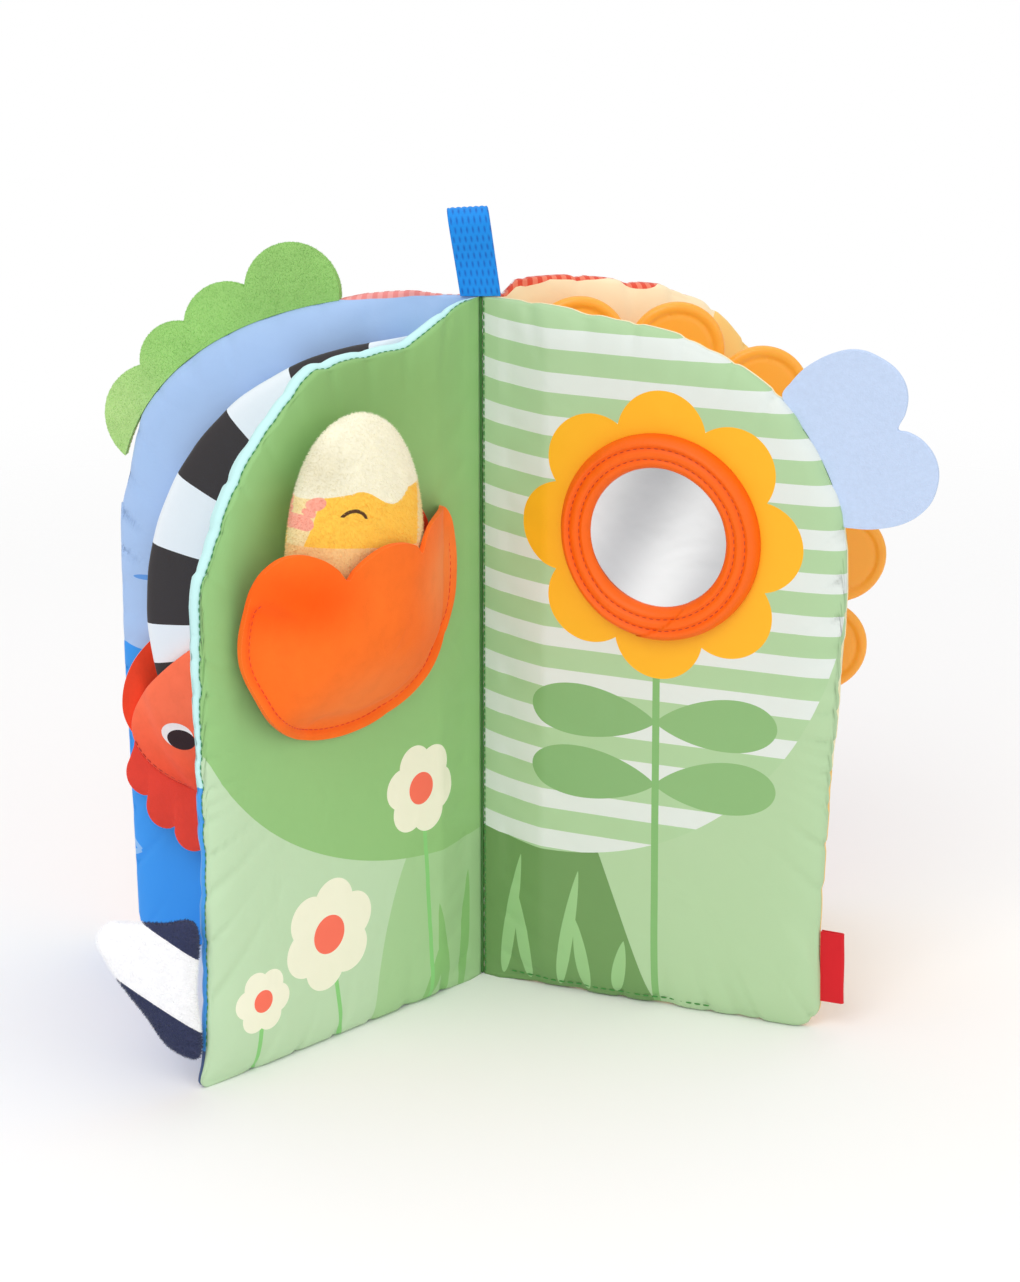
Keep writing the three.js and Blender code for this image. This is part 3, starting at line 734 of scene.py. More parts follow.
class RepeatTree:
    """A Geometry Nodes tree that lays one small piece many times, with named inputs for its sizes."""

    def __init__(self, name: str, kinds: dict[str, str]) -> None:
        """Starts the tree.

        Args:
            name: the tree's name.
            kinds: the type of each input.
        """
        self.tree = bpy.data.node_groups.new(name, "GeometryNodeTree")
        sockets = self.tree.interface
        self.inputs: dict[str, str] = {}
        for label, kind in kinds.items():
            socket = sockets.new_socket(name=label, in_out="INPUT", socket_type=f"NodeSocket{kind}")
            self.inputs[label] = socket.identifier
        sockets.new_socket(name="Made", in_out="OUTPUT", socket_type="NodeSocketGeometry")
        self.given = add_node(self.tree, "NodeGroupInput").outputs

    def add(self, kind: str, settings: dict[str, object] | None = None, **links: object) -> bpy.types.Node:
        """Adds one node, whose inputs are named here without their spaces."""
        named = {name.replace("_", " "): value for name, value in links.items()}
        return add_node(self.tree, kind, settings, named)

    def lay(
        self, points: bpy.types.Node, turn: Shade, one: bpy.types.Node, length: Shade, smooth: bool
    ) -> None:
        """Lays the small piece on points, and ends the tree in plain geometry with its material.

        Args:
            points: the node whose points get a piece each.
            turn: how each piece is turned.
            one: the node that makes the piece.
            length: each piece's length.
            smooth: whether it is shaded smooth.
        """
        thick = self.given["Thickness"]
        size = self.add("ShaderNodeCombineXYZ", X=thick, Y=thick, Z=length).outputs[0]
        made = self.add(
            "GeometryNodeInstanceOnPoints", Points=points.outputs["Points"], Instance=one.outputs["Mesh"],
            Rotation=turn, Scale=size
        )
        made = self.add("GeometryNodeRealizeInstances", Geometry=made.outputs[0])
        if smooth:
            made = add_node(self.tree, "GeometryNodeSetShadeSmooth", links={0: made.outputs[0]})
        made = self.add("GeometryNodeSetMaterial", Geometry=made.outputs[0], Material=self.given["Look"])
        add_node(self.tree, "NodeGroupOutput", links={0: made.outputs[0]})

    def run(self, made: Piece, body: str, values: dict[str, object]) -> Piece:
        """Runs the tree on an object, and makes the result the object's own plain mesh.

        Args:
            made: the object that the tree starts from.
            body: the body that it rides on.
            values: the inputs' values.

        Returns:
            The same object.
        """
        repeat = made.modifiers.new("repeat", "NODES")
        repeat.node_group = self.tree
        for label, value in values.items():
            repeat[self.inputs[label]] = value
        return settle(plain_mesh(made), body)


class StitchTree(RepeatTree):
    """Rows of stitches laid along paths."""

    def __init__(self) -> None:
        """Builds the tree."""
        kinds = {
            "Path": "Geometry", "Pitch": "Float", "Length": "Float", "Thickness": "Float", "Look": "Material"
        }
        super().__init__("stitch_rows", kinds)
        given = self.given
        path = self.add("GeometryNodeMeshToCurve", Mesh=given["Path"]).outputs[0]
        row = self.add("GeometryNodeResampleCurve", {"mode": "LENGTH"}, Curve=path, Length=given["Pitch"])
        points = self.add("GeometryNodeCurveToPoints", {"mode": "EVALUATED"}, Curve=row.outputs[0])
        thread = self.add("GeometryNodeMeshUVSphere", Segments=6, Rings=5, Radius=0.5)
        self.lay(points, points.outputs["Rotation"], thread, given["Length"], True)

    def sew(
        self, name: str, body: str, paths: Sequence[Sequence[Vector]], thread: Look, pitch: float = 3.0,
        length: float = 2.3, thickness: float = 0.6
    ) -> Piece:
        """Sews rows of stitches.

        Args:
            name: the piece's name.
            body: the body that the rows are on.
            paths: the rows' points in millimetres, in the frame's axes.
            thread: the thread's material.
            pitch: from stitch to stitch.
            length: a stitch's length.
            thickness: the thread's thickness.

        Returns:
            The stitches as one piece.
        """
        points: list[Vector] = []
        edges: list[tuple[int, int]] = []
        for path in paths:
            start = len(points)
            points.extend(p * MM for p in path)
            edges.extend((start + i, start + i + 1) for i in range(len(path) - 1))
        mesh = bpy.data.meshes.new(name)
        mesh.from_pydata(points, edges, [])
        values = {"Pitch": pitch * MM, "Length": length * MM, "Thickness": thickness * MM, "Look": thread}
        return self.run(added(name, mesh), body, values)


class PileTree(RepeatTree):
    """A pile of short fibres on a surface."""

    def __init__(self) -> None:
        """Builds the tree."""
        kinds = {
            "Surface": "Geometry", "Density": "Float", "Length": "Float", "Thickness": "Float",
            "Stroke": "Vector", "Seed": "Int", "Look": "Material"
        }
        super().__init__("pile", kinds)
        given = self.given
        seed = given["Seed"]
        roots = self.add(
            "GeometryNodeDistributePointsOnFaces", Mesh=given["Surface"], Density=given["Density"], Seed=seed
        )
        fibre = self.add("GeometryNodeMeshCone", Vertices=3, Radius_Top=0.0, Radius_Bottom=0.5, Depth=1.0)
        stray = add_node(
            self.tree, "FunctionNodeRandomValue", {"data_type": "FLOAT_VECTOR"},
            {0: (-0.45, -0.45, -0.45), 1: (0.45, 0.45, 0.45), "Seed": seed}
        ).outputs[0]
        lean = roots.outputs["Normal"]
        for push in (given["Stroke"], stray):
            lean = add_node(
                self.tree, "ShaderNodeVectorMath", {"operation": "ADD"}, {0: lean, 1: push}
            ).outputs[0]
        stand = self.add("FunctionNodeAlignRotationToVector", {"axis": "Z"}, Vector=lean).outputs[0]
        uneven = add_node(
            self.tree, "FunctionNodeRandomValue", {"data_type": "FLOAT"}, {2: 0.6, 3: 1.25, "Seed": seed}
        ).outputs[1]
        length = add_node(
            self.tree, "ShaderNodeMath", {"operation": "MULTIPLY"}, {0: given["Length"], 1: uneven}
        ).outputs[0]
        self.lay(roots, stand, fibre, length, False)

    def grow(
        self, cloth: Piece, body: str, look: Look, density: float = 3.0, length: float = 1.1,
        thickness: float = 0.2, stroke: tuple[float, float, float] = (0.0, 0.0, -0.5)
    ) -> Piece:
        """Grows a pile on a piece.

        Args:
            cloth: the piece that the fibres stand on.
            body: the body that it rides on.
            look: the fibres' material.
            density: fibres to a square millimetre.
            length: a fibre's length.
            thickness: a fibre's thickness at its root.
            stroke: which way the pile is stroked.

        Returns:
            The fibres as one piece.
        """
        values = {
            "Density": density / MM**2, "Length": length * MM, "Thickness": thickness * MM, "Stroke": stroke,
            "Seed": PILE_SEED, "Look": look
        }
        return self.run(added(f"{cloth.name}_pile", cloth.data.copy()), body, values)


# The leaves


@dataclass(frozen=True)
class LeafShape:
    """The outline and stuffing that all four leaves share, in millimetres."""

    height: float = 230.0
    width: float = 122.0
    springing: float = 148.0
    arch_power: float = 2.3
    corner: float = 10.0
    crown: float = 6.0
    seam_half: float = 0.95
    draw_in: float = 1.2
    stuffed_from: float = 7.0
    ramp: float = 38.0
    edge_round: float = 28.0
    seam_round: float = 15.0
    page_ramp: float = 17.0
    gutter_half: float = 1.35
    root: float = 0.75
    root_half: float = 0.2
    seam_gap: float = 0.08
    foot_in: float = 0.0
    flare: float = 0.0
    pucker: float = 0.9
    pucker_reach: float = 5.0
    middle: Place = (52.0, 108.0)
    gutter_columns: int = 6
    page_columns: int = 92
    rows: int = 150
    sag: Knots = ((0.0, 0.0), (122.0, 0.0))

    def arch_top(self, r: float) -> float:
        """The outline's height above a place across the leaf, with the leaf's own sag.

        Args:
            r: its distance from the spine.

        Returns:
            The height.
        """
        share = min(1.0, max(0.0, r / self.width))
        rise = (1 - share**self.arch_power) ** (1 / self.arch_power)
        return self.springing + (self.height - self.springing) * rise - self._sag(r)

    def _sag(self, r: float) -> float:
        """How far this leaf's arch hangs below the cut outline.

        Args:
            r: its distance from the spine.

        Returns:
            The sag in millimetres.
        """
        for (start, low), (end, high) in zip(self.sag, self.sag[1:]):
            if r <= end:
                return low + (high - low) * (r - start) / (end - start)
        return self.sag[-1][1]

    def lower_edge(self, r: float) -> float:
        """The outline's lower edge, rounded at its outer corner.

        Args:
            r: its distance from the spine.

        Returns:
            The height.
        """
        into = r - (self.width - self.corner)
        if into <= 0:
            return 0.0
        return self.corner - math.sqrt(max(0.0, self.corner**2 - into**2))

    def drawn(self, z: float) -> float:
        """Where the stuffing and the slanting cut leave the outer edge, as a share of the width.

        Args:
            z: the place's height.

        Returns:
            The share.
        """
        share = min(1.0, max(0.0, z / self.springing))
        slant = self.foot_in * smoothstep(140.0, 25.0, z) - self.flare * math.exp(-max(0.0, z) / 6.0)
        return 1 - (self.draw_in * math.sin(math.pi * share) + slant) / self.width

    def edge_distance(self, r: float, z: float) -> float:
        """How far a place is from the nearest sewn edge."""
        return max(0.0, min(self.width - r, self.arch_top(r) - z, z - self.lower_edge(r)))

    def half(self, r: float, z: float, ramp: float | None = None) -> float:
        """Half of the stuffed leaf's thickness at a place.

        Args:
            r: the place's distance from the spine.
            z: its height.
            ramp: over which distance the stuffing swells from the spine, if not the usual one.

        Returns:
            The half thickness in millimetres.
        """
        if r < self.stuffed_from:
            share = max(0.0, (r - self.root) / (self.stuffed_from - self.root))
            return self.root_half + (self.gutter_half - self.root_half) * share
        swell = min(1.0, (r - self.stuffed_from) / (ramp or self.ramp))
        for distance in (self.width - r, self.arch_top(r) - z, z - self.lower_edge(r)):
            broad = min(1.0, max(0.0, distance / self.edge_round))
            tight = min(1.0, max(0.0, distance / self.seam_round))
            swell *= 0.5 * math.sqrt(1 - (1 - broad) ** 2) + 0.5 * math.sqrt(1 - (1 - tight) ** 2)
        low = self.seam_half + (self.gutter_half - self.seam_half) * math.exp(-(r - self.stuffed_from) / 8)
        return low + (self.crown - low) * swell

    def wrinkle(self, r: float, z: float, seed: float) -> float:
        """How far the fabric dips at a place, in puckers at the seams and soft hollows between.

        Args:
            r: the place's distance from the spine.
            z: its height.
            seed: a number of the panel's own, so that no two panels crease alike.

        Returns:
            The dip in millimetres.
        """
        edge = self.edge_distance(r, z)
        turn = self._turn(r, z)
        reach = 5.0 + 16.0 * abs(rough(turn * 3.0, seed + 3.0, 0.0))
        dip = 1.3 * self._crease(turn, seed) * math.exp(-edge / reach) * min(1.0, edge / 1.2)
        pull = rough(z / 14.0 + r / 30.0, seed + 7.0, 0.0)
        fold = max(0.0, 1 - abs(pull) / 0.25)
        past_seam = max(0.0, r - self.stuffed_from)
        dip += 0.7 * fold * math.exp(-past_seam / 16.0) * min(1.0, past_seam / 3.0)
        hollow = rough(r / 38.0, z / 38.0, seed)
        dip += (0.45 + 0.55 * hollow) * min(1.0, edge / 14.0) * min(1.0, past_seam / 20.0)
        return dip

    def _turn(self, r: float, z: float) -> float:
        """A place's turn round the leaf's middle."""
        return math.atan2(z - self.middle[1], r - self.middle[0])

    def _crease(self, turn: float, seed: float) -> float:
        """How deep the seam is creased at a turn round the leaf: mostly 0, up to 1 at a pucker."""
        pucker = rough(turn * 7.0, math.floor(seed / 4) * 4.0, 0.0)
        return max(0.0, 1 - abs(pucker) / 0.2) ** 1.5

    def drawn_place(self, r: float, z: float, seed: float) -> Place:
        """Where a place of the flat panel ends up once its seam is drawn in by the stuffing.

        Args:
            r: its distance from the spine.
            z: its height.
            seed: the panel's own number.

        Returns:
            The place, seen square on.
        """
        across = r * self.drawn(z)
        pull = self.pucker * self._crease(self._turn(r, z), seed)
        pull *= math.exp(-self.edge_distance(r, z) / self.pucker_reach) * smoothstep(6.0, 20.0, r)
        aim = Vector((self.middle[0] - r, self.middle[1] - z)).normalized() * pull
        return (across + aim.x, z + aim.y)

    def columns(self) -> list[float]:
        """The panel mesh's places across the leaf, closer together at the seams.

        Returns:
            The places' distances from the spine.
        """
        step = (self.stuffed_from - self.root) / self.gutter_columns
        made = [self.root + step * i for i in range(self.gutter_columns)]
        for i in range(self.page_columns + 1):
            x = i / self.page_columns
            share = 0.4 * x + 0.6 * math.sin(math.pi * x / 2)
            made.append(self.stuffed_from + (self.width - self.stuffed_from) * share)
        return made

    def edge_path(self, inset: float, low: float, steps: int = 150) -> list[Place]:
        """The outer edge and the arch, set in by inset, from height low up to the spine.

        Args:
            inset: how far it is set in.
            low: the height that it starts from.
            steps: how many steps it has.

        Returns:
            The places.
        """
        path: list[Place] = [(self.width, low + (self.springing - low) * i / 40) for i in range(40)]
        for i in range(78):
            r = self.width * math.cos(math.pi / 2 * i / 80)
            path.append((r, self.arch_top(r)))
        path = even_steps(path, steps)
        made: list[Place] = []
        for i, (r, z) in enumerate(path):
            ahead, behind = path[min(i + 1, len(path) - 1)], path[max(i - 1, 0)]
            along = Vector((ahead[0] - behind[0], ahead[1] - behind[1])).normalized()
            made.append((r - along.y * inset, z + along.x * inset))
        return made


@dataclass
class Leaf:
    """One padded leaf: two printed panels sewn round batting. Its body has the leaf's name."""

    body: str
    angle: float
    prints: dict[Face, Look]
    panels: dict[Face, str]
    slots: dict[Face, str]
    seed: float
    shape: LeafShape
    page_face: Face | None = None
    seam_off: float = 0.0
    wall_steps: int = 6

    def point(self, r: float, off: float, z: float) -> Vector:
        """A place in the leaf's frame, in the frame's axes."""
        return Vector((*turned(r, off, math.radians(self.angle)), z))

    def on_page(self, face: Face, r: float, z: float, lift: float = 0.0) -> Vector:
        """A place on one of the leaf's faces, lifted off it."""
        return self.point(r, face.value * (self.surface(face, r, z) + lift), z)

    def surface(self, face: Face, r: float, z: float) -> float:
        """How far a face stands off the leaf's middle at a place.

        Args:
            face: the leaf's face.
            r: its distance from the spine.
            z: its height.

        Returns:
            The offset.
        """
        ramp = self.shape.page_ramp if face is self.page_face else None
        half = self.shape.half(r, z, ramp)
        stood = half - min(self.shape.wrinkle(r, z, self.seed + face.value), 0.5 * half)
        if face is Face.TOWARDS_Y:
            stood += self.seam_at(r, z) * math.exp(-self.shape.edge_distance(r, z) / 3.5)
        return stood

    def seam_at(self, r: float, z: float) -> float:
        """How far the outer seam is rolled over the page's edge at a place."""
        wide = 0.3 + 0.7 * smoothstep(100.0, 160.0, z)
        return self.seam_off * wide * smoothstep(3.0, 24.0, r) * smoothstep(1.0, 16.0, z)

    def laid(self, face: Face, r: float, z: float) -> Place:
        """Where a place of a flat panel lies in the sewn leaf, seen square on.

        Args:
            face: the leaf's face.
            r: its distance from the spine.
            z: its height.

        Returns:
            The place, seen square on.
        """
        across, up = self.shape.drawn_place(r, z, self.seed)
        if face is Face.AWAY_FROM_Y:
            return (across, up)
        pull = 0.5 * self.seam_at(r, z) * math.exp(-self.shape.edge_distance(r, z) / 4.0)
        middle = self.shape.middle
        aim = Vector((middle[0] - r, middle[1] - z)).normalized() * pull
        return (across + aim.x, up + aim.y)

    def build(self) -> None:
        """Makes both panels, each with its half of the batting."""
        for face in Face:
            self._panel(face)

    def _panel(self, face: Face) -> None:
        """Makes one panel: its outer face, the wall round to the seam, and a flat back.

        Args:
            face: the face that the panel is on.
        """
        shape = self.shape
        columns = shape.columns()
        rows = shape.rows
        flat: list[Place] = []
        points: list[Vector] = []
        page: list[Place] = []
        for r in columns:
            low, high = shape.lower_edge(r), shape.arch_top(r)
            for j in range(rows + 1):
                x = j / rows
                z = low + (high - low) * (0.45 * x + 0.55 * (0.5 - 0.5 * math.cos(math.pi * x)))
                across, up = self.laid(face, r, z)
                flat.append((r, z))
                points.append(self.point(across, face.value * self.surface(face, r, z), up))
                page.append((across, up))
        faces: list[Corners] = []
        tall = rows + 1
        for i in range(len(columns) - 1):
            for j in range(rows):
                a = i * tall + j
                faces.append((a, a + tall, a + tall + 1, a + 1))
        last = (len(columns) - 1) * tall
        rim = [i * tall for i in range(len(columns))]
        rim += [last + j for j in range(1, tall)]
        rim += [i * tall + rows for i in reversed(range(len(columns) - 1))]
        rim += list(range(rows - 1, 0, -1))
        steps = self.wall_steps if face is Face.AWAY_FROM_Y else 1
        inner = rim
        for step in range(1, steps + 1):
            wall = len(points)
            for k in rim:
                place, off = self._wall(face, *flat[k], step / steps)
                flat.append(flat[k])
                points.append(self.point(place[0], off, place[1]))
                page.append(place)
            outer = list(range(wall, wall + len(rim)))
            for i in range(len(rim)):
                n = (i + 1) % len(rim)
                faces.append((inner[i], outer[i], outer[n], inner[n]))
            inner = outer
        faces.append(tuple(inner))
        panel = f"{self.body}_{self.panels[face]}"
        made = mesh_object(f"{panel}_cloth", points, faces, [self.prints[face]], page)
        made.data.polygons[-1].use_smooth = False
        below = made.data.attributes.new(TOP_MAP, "FLOAT", "POINT")
        below.data.foreach_set("value", [(shape.arch_top(r) - z) / PAGE_SPAN for r, z in flat])
        nodes = [panel, f"{self.body}_batting"] if face is Face.TOWARDS_Y else [panel]
        settle(made, self.body, nodes)

    def _wall(self, face: Face, r: float, z: float, share: float) -> tuple[Place, float]:
        """A place on the panel's edge that is rolled round to the seam.

        Args:
            face: the panel's face.
            r: the edge's place across the flat panel.
            z: its height.
            share: how far round it is, from the panel's own edge to the seam.

        Returns:
            The place seen square on, and its offset from the leaf's middle.
        """
        own, seam = self.laid(face, r, z), self.laid(Face.TOWARDS_Y, r, z)
        middle = self.shape.middle
        roll = min(1.0, self.seam_at(r, z) / 1.5) * 0.9 * math.sin(math.pi * share)
        out = Vector((r - middle[0], z - middle[1])).normalized() * roll
        start = face.value * self.surface(face, r, z)
        end = self.seam_at(r, z) + face.value * self.shape.seam_gap
        place = part_way(own, seam, share)
        return (place[0] + out.x, place[1] + out.y), start + (end - start) * share

    def gutter_row(self, face: Face, r: float = 1.2) -> list[Vector]:
        """A row of stitches' path along the gutter."""
        return [self.on_page(face, r, 2 + (self.shape.height - 4) * i / 120, 0.1) for i in range(121)]

    def seam_row(self, low: float, lift: float = 0.25) -> list[Vector]:
        """The path of the stitches that show in the outer seam, from height low up to the spine.

        Args:
            low: the height that it starts from.
            lift: how far it is set out.

        Returns:
            The path's points.
        """
        made: list[Vector] = []
        for r, z in self.shape.edge_path(-lift, low):
            across, up = self.laid(Face.TOWARDS_Y, r, z)
            made.append(self.point(across, self.seam_at(r, z) + 0.15, up))
        return made

    def ring_body(
        self, name: str, outline: Sequence[Place], centre: Place, shares: Sequence[float], high: Offset,
        low: Offset, look: Look
    ) -> Piece:
        """Makes a body inside an outline on the page.

        Args:
            name: the piece's name.
            outline: its outline on the page.
            centre: the place from which its rings spread.
            shares: each ring's share of the way from the centre to the outline.
            high: its far face's offset at a place, with the ring's share.
            low: its near face's offset.
            look: its material.

        Returns:
            The piece.
        """
        points: list[Vector] = []
        page: list[Place] = []
        for offset in (high, low):
            points.append(self.point(centre[0], offset(*centre, 0.0), centre[1]))
            page.append(centre)
            for share in shares:
                for spot in outline:
                    place = part_way(centre, spot, share)
                    points.append(self.point(place[0], offset(*place, share), place[1]))
                    page.append(place)
        return mesh_object(name, points, ring_faces(len(outline), len(shares)), [look], page)


@dataclass
class Sewing:
    """The stitches, the pile and the threads that all the pieces share."""

    stitches: StitchTree = field(default_factory=StitchTree)
    pile: PileTree = field(default_factory=PileTree)

    def thread(self, name: str, code: str) -> Look:
        """Sewing thread of one colour."""
        return THREAD.material(f"{name}_thread", code)


# Printed pages, with painted light, shade and reflection


def paint_mirror_page(page: PagePrint) -> None:
    """Striped hill with a big blossom, its stem and leaves over a light meadow; the printed slope by the
    spine is darkened further by painted shade.

    Args:
        page: the print.
    """
    page.ground("#B3D1A3")
    slope = page.sum("LESS_THAN", page.sum("MULTIPLY_ADD", page.up, 0.375, page.across), 62.2)
    # the slope by the spine is print; its green is deepened past the print's by painted shade for the gutter
    page.lay(slope, "#6F9858")
    for foot, tip in (
        ((8, 2), (15, 46)), ((18, 2), (13, 34)), ((29, 2), (36, 44)), ((39, 2), (35, 27)), ((49, 3), (52, 22))
    ):
        page.lay(page.both(slope, page.drop(tip, foot, 4.6)), "#9CC889")
    hill = page.sum("MAXIMUM", page.oval((26, 148), (96, 98)), page.sum("GREATER_THAN", page.up, 148.0))
    pulled = page.sum("EXPONENT", page.sum("MULTIPLY", page.across, -1 / 9))
    stripe = page.stripes(page.sum("MULTIPLY_ADD", pulled, -2.8, page.up), 212.5, 13.8, 0.54)
    page.lay(page.both(hill, page.outside(stripe)), "#E0E7E1")
    page.lay(page.both(hill, stripe), "#AECF9E")
    for height in (98.6, 77.6):
        page.lay(page.drop((62, height), (19.6, height + 1.5), 17.5), "#86B473")
        page.lay(page.drop((62, height), (102.2, height + 3.0), 17.5), "#8BB877")
    page.lay(page.bar((62, 120), (62.6, -2), 2.4), "#83B870")
    page.lay(page.blossom((62.5, 160.0), 8, 32.0, 14.6), "#FDB80E")


def paint_chick_page(page: PagePrint) -> None:
    """A darker hill above a light meadow, with painted shade deepening the hill towards the leaf's top, and
    round blossoms on thin stems.

    Args:
        page: the print.
    """
    page.ground("#C0DCB4")
    page.lay(page.oval((0, 0), (53, 83.7)), "#A9D096")
    hill = page.sum(
        "MAXIMUM", page.oval((14.8, 133.4), (110.9, 81.4)), page.sum("GREATER_THAN", page.up, 133.4)
    )
    page.lay(hill, "#94C57B")
    # painted shade: the hill darker towards the leaf's top
    page.lay(page.both(hill, page.glow((52, 212), (62, 52))), "#86B469")
    for start, end in (((12, -2), (8, 40)), ((20, -2), (25, 34)), ((30, -2), (22, 22))):
        page.lay(page.drop(end, start, 5), "#8CC274")
    for middle, reach, petal, foot, turn in (
        ((33, 76), 8.6, 6.8, (27, -2), 12), ((74, 38), 10.4, 8.2, (67, -2), 40),
        ((102, 24), 6.0, 4.8, (104, -2), 5)
    ):
        page.lay(page.bar(middle, foot, 1.7), "#8AD07A")
        page.lay(page.blossom(middle, 6, reach, petal, turn), "#F7F5DC")
        page.lay(page.oval(middle, (reach * 0.62, reach * 0.62)), "#FF6F55")


def paint_sea_back(page: PagePrint) -> None:
    """Cyan above, blue below and a dark foot.

    Args:
        page: the print.
    """
    page.ground("#C6F1F0")
    page.lay(page.sum("LESS_THAN", page.up, 98.0), "#3E9BEA")
    page.lay(page.sum("LESS_THAN", page.up, 12.0), "#35507C")
    for z in (30.0, 62.0):
        page.lay(page.oval((60, z), (12, 1.2)), "#9CCBF4")


def lay_rolled_gingham(
    page: PagePrint, humps: Sequence[tuple[float, float, float]], light: str, dark: str
) -> None:
    """Shows the outer gingham where it rolls over the top seam.

    Args:
        page: the print.
        humps: each rolled stretch's middle and half length across the page, and its depth.
        light: the gingham's lighter colour.
        dark: its darker colour.
    """
    rolled = page.near_top(humps)
    page.lay(rolled, light)
    page.lay(page.both(rolled, page.stripes(page.across, 0.0, GINGHAM_PITCH, 0.5)), dark)


def paint_sea_inner(page: PagePrint) -> None:
    """Pale sky above a blue sea with a few wave strokes.

    Args:
        page: the print.
    """
    page.ground("#A9C6F0")
    wave = page.sum("SINE", page.sum("MULTIPLY", page.across, 0.21))
    line = page.sum("MULTIPLY_ADD", wave, 1.2, 107.0)
    page.lay(page.sum("LESS_THAN", page.up, line), "#2B99F4")
    for middle, turn in (((108, 62), 12), ((86, 40), -8), ((52, 72), 10), ((30, 30), -12), ((118, 34), 8)):
        for lean in (35, -35):
            page.lay(page.bar(middle, round_place(middle, 5.5, math.radians(lean + turn)), 1.8), "#8CC0F5")
    for middle in ((112, 131), (60, 190)):
        page.lay(page.oval(middle, (5, 0.9)), "#5E9BE6")
    lay_rolled_gingham(page, ((29.0, 17.0, 1.8),), "#F2A09C", "#EC8784")


def paint_sun_inner(page: PagePrint) -> None:
    """Peach with a yellow hill and darker dots.

    Args:
        page: the print.
    """
    page.ground("#FDE9C0")
    page.lay(page.oval((118, 150), (54, 84)), "#FBCD73")
    for middle in ((66, 214), (84, 197), (101, 176), (112, 150), (95, 120), (110, 90), (80, 60)):
        page.lay(page.oval(middle, (3.4, 2.6), 30), "#EFA93F")
    lay_rolled_gingham(page, ((16.0, 10.0, 2.3), (31.0, 14.0, 1.2), (56.5, 7.0, 1.7)), "#F07F62", "#E2472A")


def paint_cream_back(page: PagePrint) -> None:
    """Cream with a pale yellow hill."""
    page.ground("#FBF1C4")
    page.lay(page.oval((60, 20), (90, 90)), "#FBD07E")


def paint_gingham(page: PagePrint) -> None:
    """Gingham: stripes across and up, darkest where they cross.

    Args:
        page: the print.
    """
    page.ground("#FBEDE8")
    across = page.stripes(page.across, 0.0, GINGHAM_PITCH, 0.5)
    up = page.stripes(page.up, 0.0, GINGHAM_PITCH, 0.5)
    page.lay(page.sum("MAXIMUM", across, up), "#F09184")
    page.lay(page.both(across, up), "#E4452F")


def paint_pocket(page: PagePrint) -> None:
    """Orange velour, with painted shade deepening its outer petal and painted light on its lower middle and
    its inner petal.

    Args:
        page: the print.
    """
    page.ground("#FF7526")
    # painted shade: deeper orange over the outer petal
    page.lay(page.glow((99, 158), (24, 20)), "#FF5A10")
    # painted light: lighter orange low in the middle and on the inner petal by the spine
    page.lay(page.glow((74, 122), (30, 20)), "#FF7E34")
    page.lay(page.glow((34, 152), (30, 24)), "#FF9048")


def paint_chick(page: PagePrint) -> None:
    """Cream shell cap with a wavy edge, greyed by painted shade at its outer side, over an orange-yellow face
    with a closed eye and a cheek.

    Args:
        page: the print.
    """
    page.ground("#F5E0A8")
    left = page.sum("LESS_THAN", page.sum("MULTIPLY_ADD", page.up, 0.4, page.across), 165.6)
    right = page.sum("GREATER_THAN", page.sum("MULTIPLY_ADD", page.up, 0.17, page.across), 82.9)
    page.lay(page.both(left, right), "#FFCE4E")
    belly = page.sum("MULTIPLY_ADD", page.across, -0.16, page.up)
    page.lay(page.sum("LESS_THAN", belly, 157.8), "#FBD290")
    waved = page.sum("MINIMUM", page.sum("MAXIMUM", page.across, 57.5), 81.0)
    wave = page.sum("COSINE", page.sum("MULTIPLY_ADD", waved, 2 * math.pi / 28, -79 * 2 * math.pi / 28))
    line = page.sum("MULTIPLY_ADD", wave, 3.0, 184.4)
    cap = page.sum("GREATER_THAN", page.up, line)
    page.lay(cap, "#F9F4DC")
    # painted shade: a greyish patch on the cap's outer side
    page.lay(page.both(cap, page.glow((90, 195), (13, 15))), "#E9E2C6")
    lid = page.both(page.oval((81.9, 178.4), (5.4, 4.3)), page.outside(page.oval((81.9, 178.1), (4.5, 3.5))))
    level = page.sum("MULTIPLY_ADD", page.across, -0.22, page.up)
    page.lay(page.both(lid, page.sum("GREATER_THAN", level, 162.1)), "#5A3A1E")
    for middle, size in (
        ((91.9, 185.5), (2.5, 1.8)), ((95.6, 180.2), (2.0, 2.5)), ((93.9, 183.0), (1.2, 1.5))
    ):
        page.lay(page.oval(middle, size, -25), "#F9AE98")


def paint_tail(page: PagePrint) -> None:
    """A white band between two navy ones.

    Args:
        page: the print.
    """
    page.ground("#363D60")
    middle = page.sum("MULTIPLY_ADD", page.across, 0.85, 32.3 - 0.85 * 50)
    page.lay(
        page.sum("LESS_THAN", page.sum("ABSOLUTE", page.sum("SUBTRACT", page.up, middle)), 12.0), "#FDFDFF"
    )


def paint_mirror(page: PagePrint) -> None:
    """Silver, with a painted reflection: soft slanting grey bands of a pale room.

    Args:
        page: the print.
    """
    page.ground("#EEEEEE")
    # painted reflection: grey bands slanting across the film
    slant = page.sum("MULTIPLY_ADD", page.up, -0.5, page.across)
    band = page.sum("SINE", page.sum("MULTIPLY", slant, 0.17))
    soft = page.sum("MULTIPLY_ADD", band, 0.45, 0.45)
    page.lay(soft, "#C4C4C6")


def paint_bush(page: PagePrint) -> None:
    """Green velour, lighter towards its lower outer corner and darker towards its upper inner one.

    Args:
        page: the print.
    """
    page.ground("#A3D57A")
    page.lay(page.glow((120, 183), (42, 34), 45), "#BCDF90")
    page.lay(page.glow((64, 234), (36, 26), -45), "#9CCB74")


